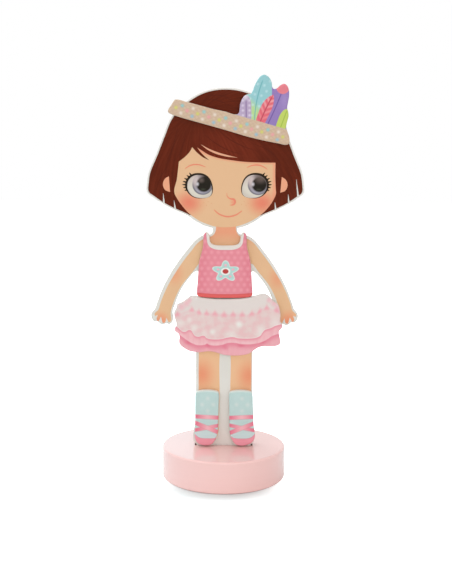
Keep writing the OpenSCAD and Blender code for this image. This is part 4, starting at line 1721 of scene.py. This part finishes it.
@dataclass
class Skirt(Garment):
    """Frilled ballet skirt: a cream gathered tier over two pink frills."""

    upper_edge: Line = (
        (-36.0, 90.0), (-33.9, 89.2), (-31.7, 87.3), (-28.6, 85.9), (-25.3, 87.3), (-22.8, 85.1),
        (-18.9, 82.4), (-15.3, 83.2), (-12.8, 81.4), (-7.8, 80.5), (-2.3, 80.8), (2.1, 81.9), (6.0, 82.3),
        (10.4, 81.4), (19.8, 81.4), (24.8, 82.7), (27.5, 85.8), (29.4, 87.8), (33.6, 89.2), (36.3, 90.6),
        (41.3, 92.1),
    )
    middle_edge: Line = (
        (-36.0, 86.4), (-32.2, 83.6), (-29.4, 81.4), (-26.7, 79.5), (-22.2, 77.0), (-18.3, 76.0),
        (-13.9, 76.5), (-12.5, 77.3), (-11.1, 76.5), (-6.7, 75.8), (-2.3, 76.3), (4.4, 78.0), (8.2, 77.8),
        (12.1, 77.1), (17.7, 76.9), (23.2, 77.6), (27.6, 79.0), (31.5, 81.1), (34.7, 83.3), (39.2, 84.8),
    )
    gather_places: Line = (
        (-38.5, -0.5), (-36.0, -0.33), (-34.0, 0.0), (-32.0, 0.33), (-28.5, 0.5), (-25.6, 0.67),
        (-23.5, 1.0), (-18.3, 2.0), (-12.9, 3.0), (-6.9, 4.0), (-0.3, 5.0), (6.1, 6.0), (12.7, 7.0),
        (19.6, 8.0), (25.1, 9.0), (30.3, 10.0), (32.4, 10.33), (33.9, 10.5), (35.4, 10.67), (37.5, 11.0),
        (39.6, 11.33), (42.0, 11.5),
    )
    gather_line: Line = (
        (-38.0, 96.8), (-34.0, 97.6), (-28.5, 99.6), (-23.5, 100.8), (-18.3, 98.9), (-12.9, 98.3),
        (-6.9, 98.1), (-0.3, 97.4), (6.1, 97.7), (12.7, 97.4), (19.6, 98.3), (25.1, 99.8), (30.3, 102.6),
        (34.0, 101.9), (37.5, 100.7), (42.0, 99.5),
    )
    gather_pitch: float = 6.2
    gather_height: float = 4.0
    gather_half_width: float = 2.4
    puffs: tuple[tuple[float, float, float, float], ...] = (
        (10.4, 91.7, 4.2, 1.0), (-8.4, 85.8, 3.6, 0.8), (-25.1, 94.8, 3.4, 0.6), (-21.8, 88.6, 4.2, 0.6),
        (25.9, 86.4, 6.5, 0.55), (4.5, 84.4, 6.0, 0.5), (-14.0, 85.4, 4.0, 0.35), (36.9, 92.6, 5.5, 0.6),
        (-32.8, 92.0, 5.5, 0.6),
    )
    rosy_corners: tuple[Triple, ...] = (
        (-31.0, 104.0, 4.4), (-27.3, 106.6, 4.0), (-25.2, 109.0, 3.0), (32.0, 109.4, 3.2), (35.6, 107.0, 4.0),
        (38.6, 103.6, 4.0),
    )
    folds: tuple[tuple[float, float, float, float], ...] = (
        (0.6, 74.4, 3.6, 1.5), (-12.0, 75.6, 3.2, 1.0), (12.0, 76.0, 4.2, 0.9), (36.2, 85.4, 2.8, 1.0),
        (-26.0, 78.0, 5.0, 1.2), (27.0, 79.0, 4.5, 1.0),
    )
    fold_reach: float = 2.2
    low_shade_depth: float = 2.6
    low_light_depth: float = 3.2
    frill_shade_depth: float = 1.5
    frill_light_height: float = 1.8
    frill_line_half_width: float = 0.22
    pleats_below: float = 0.44
    rosy_drop: float = 0.6
    cloud_top: float = 2.5
    cloud_shares: Spot = (0.43, 0.55)
    gather_foot: Spot = (-0.1, 3.2)
    gather_growth: float = 0.2
    edge_height: float = 0.45
    pleat_grains: Triple = (0.32, 0.0, 0.05)
    cloud_grains: Triple = (0.22, 0.22, 0.22)
    low_ink: Colour = (233, 164, 173)
    low_shade: Colour = (226, 126, 146)
    low_light: Colour = (240, 182, 190)
    fold_ink: Colour = (224, 116, 138)
    frill_ink: Colour = (238, 183, 188)
    frill_shade: Colour = (230, 142, 158)
    frill_light: Colour = (242, 198, 202)
    pleat_ink: Colour = (231, 150, 164)
    frill_line: Colour = (228, 130, 150)
    cream: Colour = (224, 213, 208)
    cream_light: Colour = (228, 216, 210)
    cream_edge: Colour = (240, 236, 230)
    rosy_ink: Colour = (229, 194, 193)
    cloud_ink: Colour = (233, 178, 183)
    corner_ink: Colour = (236, 178, 186)
    puff_ink: Colour = (234, 230, 224)
    gather_ink: Colour = (235, 160, 172)

    def draw(self, canvas: Canvas) -> None:
        """Prints the tiers from the lowest up."""
        middle = canvas.z - canvas.curve(canvas.x, self.middle_edge)
        upper = canvas.z - canvas.curve(canvas.x, self.upper_edge)
        pleats = canvas.noise(self.pleat_grains, detail=2.0)
        lowest = middle.below(0.0)
        canvas.paint(self.low_ink, lowest)
        under_frill = middle.above(-self.low_shade_depth, soft=2.4).eased()
        canvas.paint(self.low_shade, lowest * under_frill, strength=0.75)
        for x, z, wide, high in self.folds:
            reach = (wide, high * self.fold_reach)
            Glow(self.fold_ink, (x, z), radius=1.0, stretch=reach, strength=0.8).lay(canvas, lowest)
        pale_low = middle.below(-self.low_light_depth, soft=1.6) * pleats.above(0.5, soft=0.2)
        canvas.paint(self.low_light, pale_low, strength=0.6)
        frill = middle.above(0.0) * upper.below(0.0)
        canvas.paint(self.frill_ink, frill)
        under_edge = upper.above(-self.frill_shade_depth, soft=1.4).eased()
        canvas.paint(self.frill_shade, frill * under_edge, strength=0.85)
        canvas.paint(self.frill_light, frill * middle.below(self.frill_light_height, soft=1.4), strength=0.55)
        canvas.paint(self.pleat_ink, frill * pleats.below(self.pleats_below, soft=0.12), strength=0.4)
        canvas.paint(self.frill_line, abs(middle).below(self.frill_line_half_width, soft=0.2), strength=0.5)
        self.draw_upper_tier(canvas, upper)

    def draw_upper_tier(self, canvas: Canvas, upper: Field) -> None:
        """Prints the cream tier with its pink gathers and pale puffs.

        Args:
            canvas: the skirt's canvas.
            upper: height above the tier's lower edge.
        """
        tier = upper.above(0.0)
        canvas.paint(self.cream, tier)
        aside = abs(canvas.curve(canvas.x, self.gather_places).wrapped(1.0)) * self.gather_pitch
        near = aside.math("MINIMUM", self.gather_half_width)
        rise = canvas.z - canvas.curve(canvas.x, self.gather_line)
        tooth = rise + near * (self.gather_height / self.gather_half_width)
        rosy = tier * tooth.below(self.gather_height - self.rosy_drop, soft=2.2)
        canvas.paint(self.rosy_ink, rosy, strength=0.85)
        cloud = canvas.noise(self.cloud_grains, detail=4.0)
        clouded = tier * rise.below(self.cloud_top, soft=3.5)
        pale, rose = self.cloud_shares
        canvas.paint(self.cloud_ink, clouded * cloud.above(rose, soft=0.1), strength=0.34)
        canvas.paint(self.cream_light, clouded * cloud.below(pale, soft=0.1), strength=0.42)
        for x, z, radius in self.rosy_corners:
            Glow(self.corner_ink, (x, z), radius, strength=0.75).lay(canvas, tier)
        for x, z, radius, strength in self.puffs:
            Glow(self.puff_ink, (x, z), radius, strength=strength).lay(canvas, tier)
        low, high = self.gather_foot
        foot = rise.above(low, soft=1.3) * rise.below(high, soft=2.6)
        gather = tooth.below(self.gather_height + self.gather_growth, soft=2.4) * foot
        canvas.paint(self.gather_ink, tier * gather.eased(), strength=0.82)
        canvas.paint(self.cream_edge, tier * upper.below(self.edge_height, soft=0.3), strength=0.5)


@dataclass
class Boot(Garment):
    """Aqua sock with pale dots in a pink ballet shoe with crossed straps."""

    side: Side = Side.RIGHT
    print_shift: float = 0.7
    dots: Line = ((12.5, 36.6), (8.5, 32.0), (16.5, 32.0), (12.5, 27.3))
    dot_radius: float = 1.25
    strap_middle: float = 12.4
    straps: tuple[Triple, ...] = ((22.6, 0.05, 1.4), (14.7, -0.21, 1.25), (14.4, 0.42, 1.55))
    vamp_top: float = 12.0
    cuff_bow: float = 0.012
    cuff_edge: float = 41.6
    toe_bow: float = 0.00045
    toe_edge: float = 6.4
    strap_edge: float = 0.3
    shoe_line_half_width: float = 0.2
    shade_depth: float = 0.8
    sock_shade_above: float = 0.55
    pale_half_length: float = 4.2
    sock_grains: Triple = (0.2, 0.2, 0.2)
    sock_shade: Colour = (178, 206, 202)
    dot_ink: Colour = (216, 224, 220)
    vamp_ink: Colour = (203, 225, 225)
    cuff_ink: Colour = (226, 230, 224)
    shoe_ink: Colour = (238, 158, 173)
    shoe_line: Colour = (212, 100, 124)
    shoe_shade: Glow = Glow((238, 152, 166), (0.0, 3.0), 30.0, strength=0.3)
    strap_line: Colour = (206, 96, 120)
    deep_strap: Colour = (230, 124, 146)
    pale_strap: Colour = (238, 180, 188)

    def draw(self, canvas: Canvas) -> None:
        """Prints sock, shoe and straps; each strap is a height, a slope and half its width."""
        across = (canvas.x - self.print_shift) * float(self.side)
        out = across - self.strap_middle
        mottle = canvas.noise(self.sock_grains).above(self.sock_shade_above, soft=0.15)
        canvas.paint(self.sock_shade, mottle, strength=0.35)
        for x, z in self.dots:
            dot = (across - x).hypot(canvas.z - z).below(self.dot_radius, soft=0.9)
            canvas.paint(self.dot_ink, dot, strength=0.55)
        canvas.paint(self.vamp_ink, canvas.z.below(self.vamp_top, soft=2.0), strength=0.8)
        cuff = canvas.z + (out * out) * self.cuff_bow
        canvas.paint(self.cuff_ink, cuff.above(self.cuff_edge, soft=0.5), strength=0.6)
        toe = canvas.z - out * out * out * out * self.toe_bow - self.toe_edge
        canvas.paint(self.shoe_ink, toe.below(0.0))
        self.shoe_shade.lay(canvas, toe.below(-self.shade_depth, soft=0.6))
        canvas.paint(self.shoe_line, abs(toe).below(self.shoe_line_half_width, soft=0.15), strength=0.5)
        pale = abs(out).below(self.pale_half_length, soft=3.6)
        for height, slope, half in self.straps:
            offset = abs(canvas.z - out * slope - height)
            strap = offset.below(half)
            canvas.paint(self.strap_line, offset.below(half + self.strap_edge, soft=0.2), strength=0.35)
            canvas.paint(self.deep_strap, strap)
            canvas.paint(self.pale_strap, strap * pale)


def main() -> None:
    """Builds the studio, the stand, the doll and its clothes in order."""
    logging.basicConfig(level=logging.INFO, format="%(name)s: %(message)s")
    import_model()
    layout = Layout.from_frame()
    Studio().build()
    Stand(layout).build()
    Doll(layout).build()
    band_magnets = ((-22.0, 241.5), (2.0, 235.4), (26.0, 228.6))
    top_magnets = ((-9.0, 137.0), (9.0, 137.0), (0.5, 121.0))
    skirt_magnets = ((-9.0, 99.0), (9.0, 99.0), (0.0, 86.0))
    boot_magnets = ((12.4, 34.0), (12.4, 12.0))
    left_magnets = tuple((-x, z) for x, z in boot_magnets)
    aqua = (190, 214, 211)
    clothes = (
        Headband(layout, "headband", "headband_print", band_magnets, ground=(206, 180, 152)),
        Vest(layout, "top", "top_print", top_magnets, ground=(228, 138, 151)),
        Skirt(layout, "skirt", "skirt_print", skirt_magnets, ground=(236, 164, 175)),
        Boot(layout, "left_boot", "boot_print", left_magnets, ground=aqua, side=Side.LEFT),
        Boot(layout, "right_boot", "boot_print", boot_magnets, ground=aqua, side=Side.RIGHT),
    )
    for garment in clothes:
        garment.build()


if __name__ == "__main__":
    main()
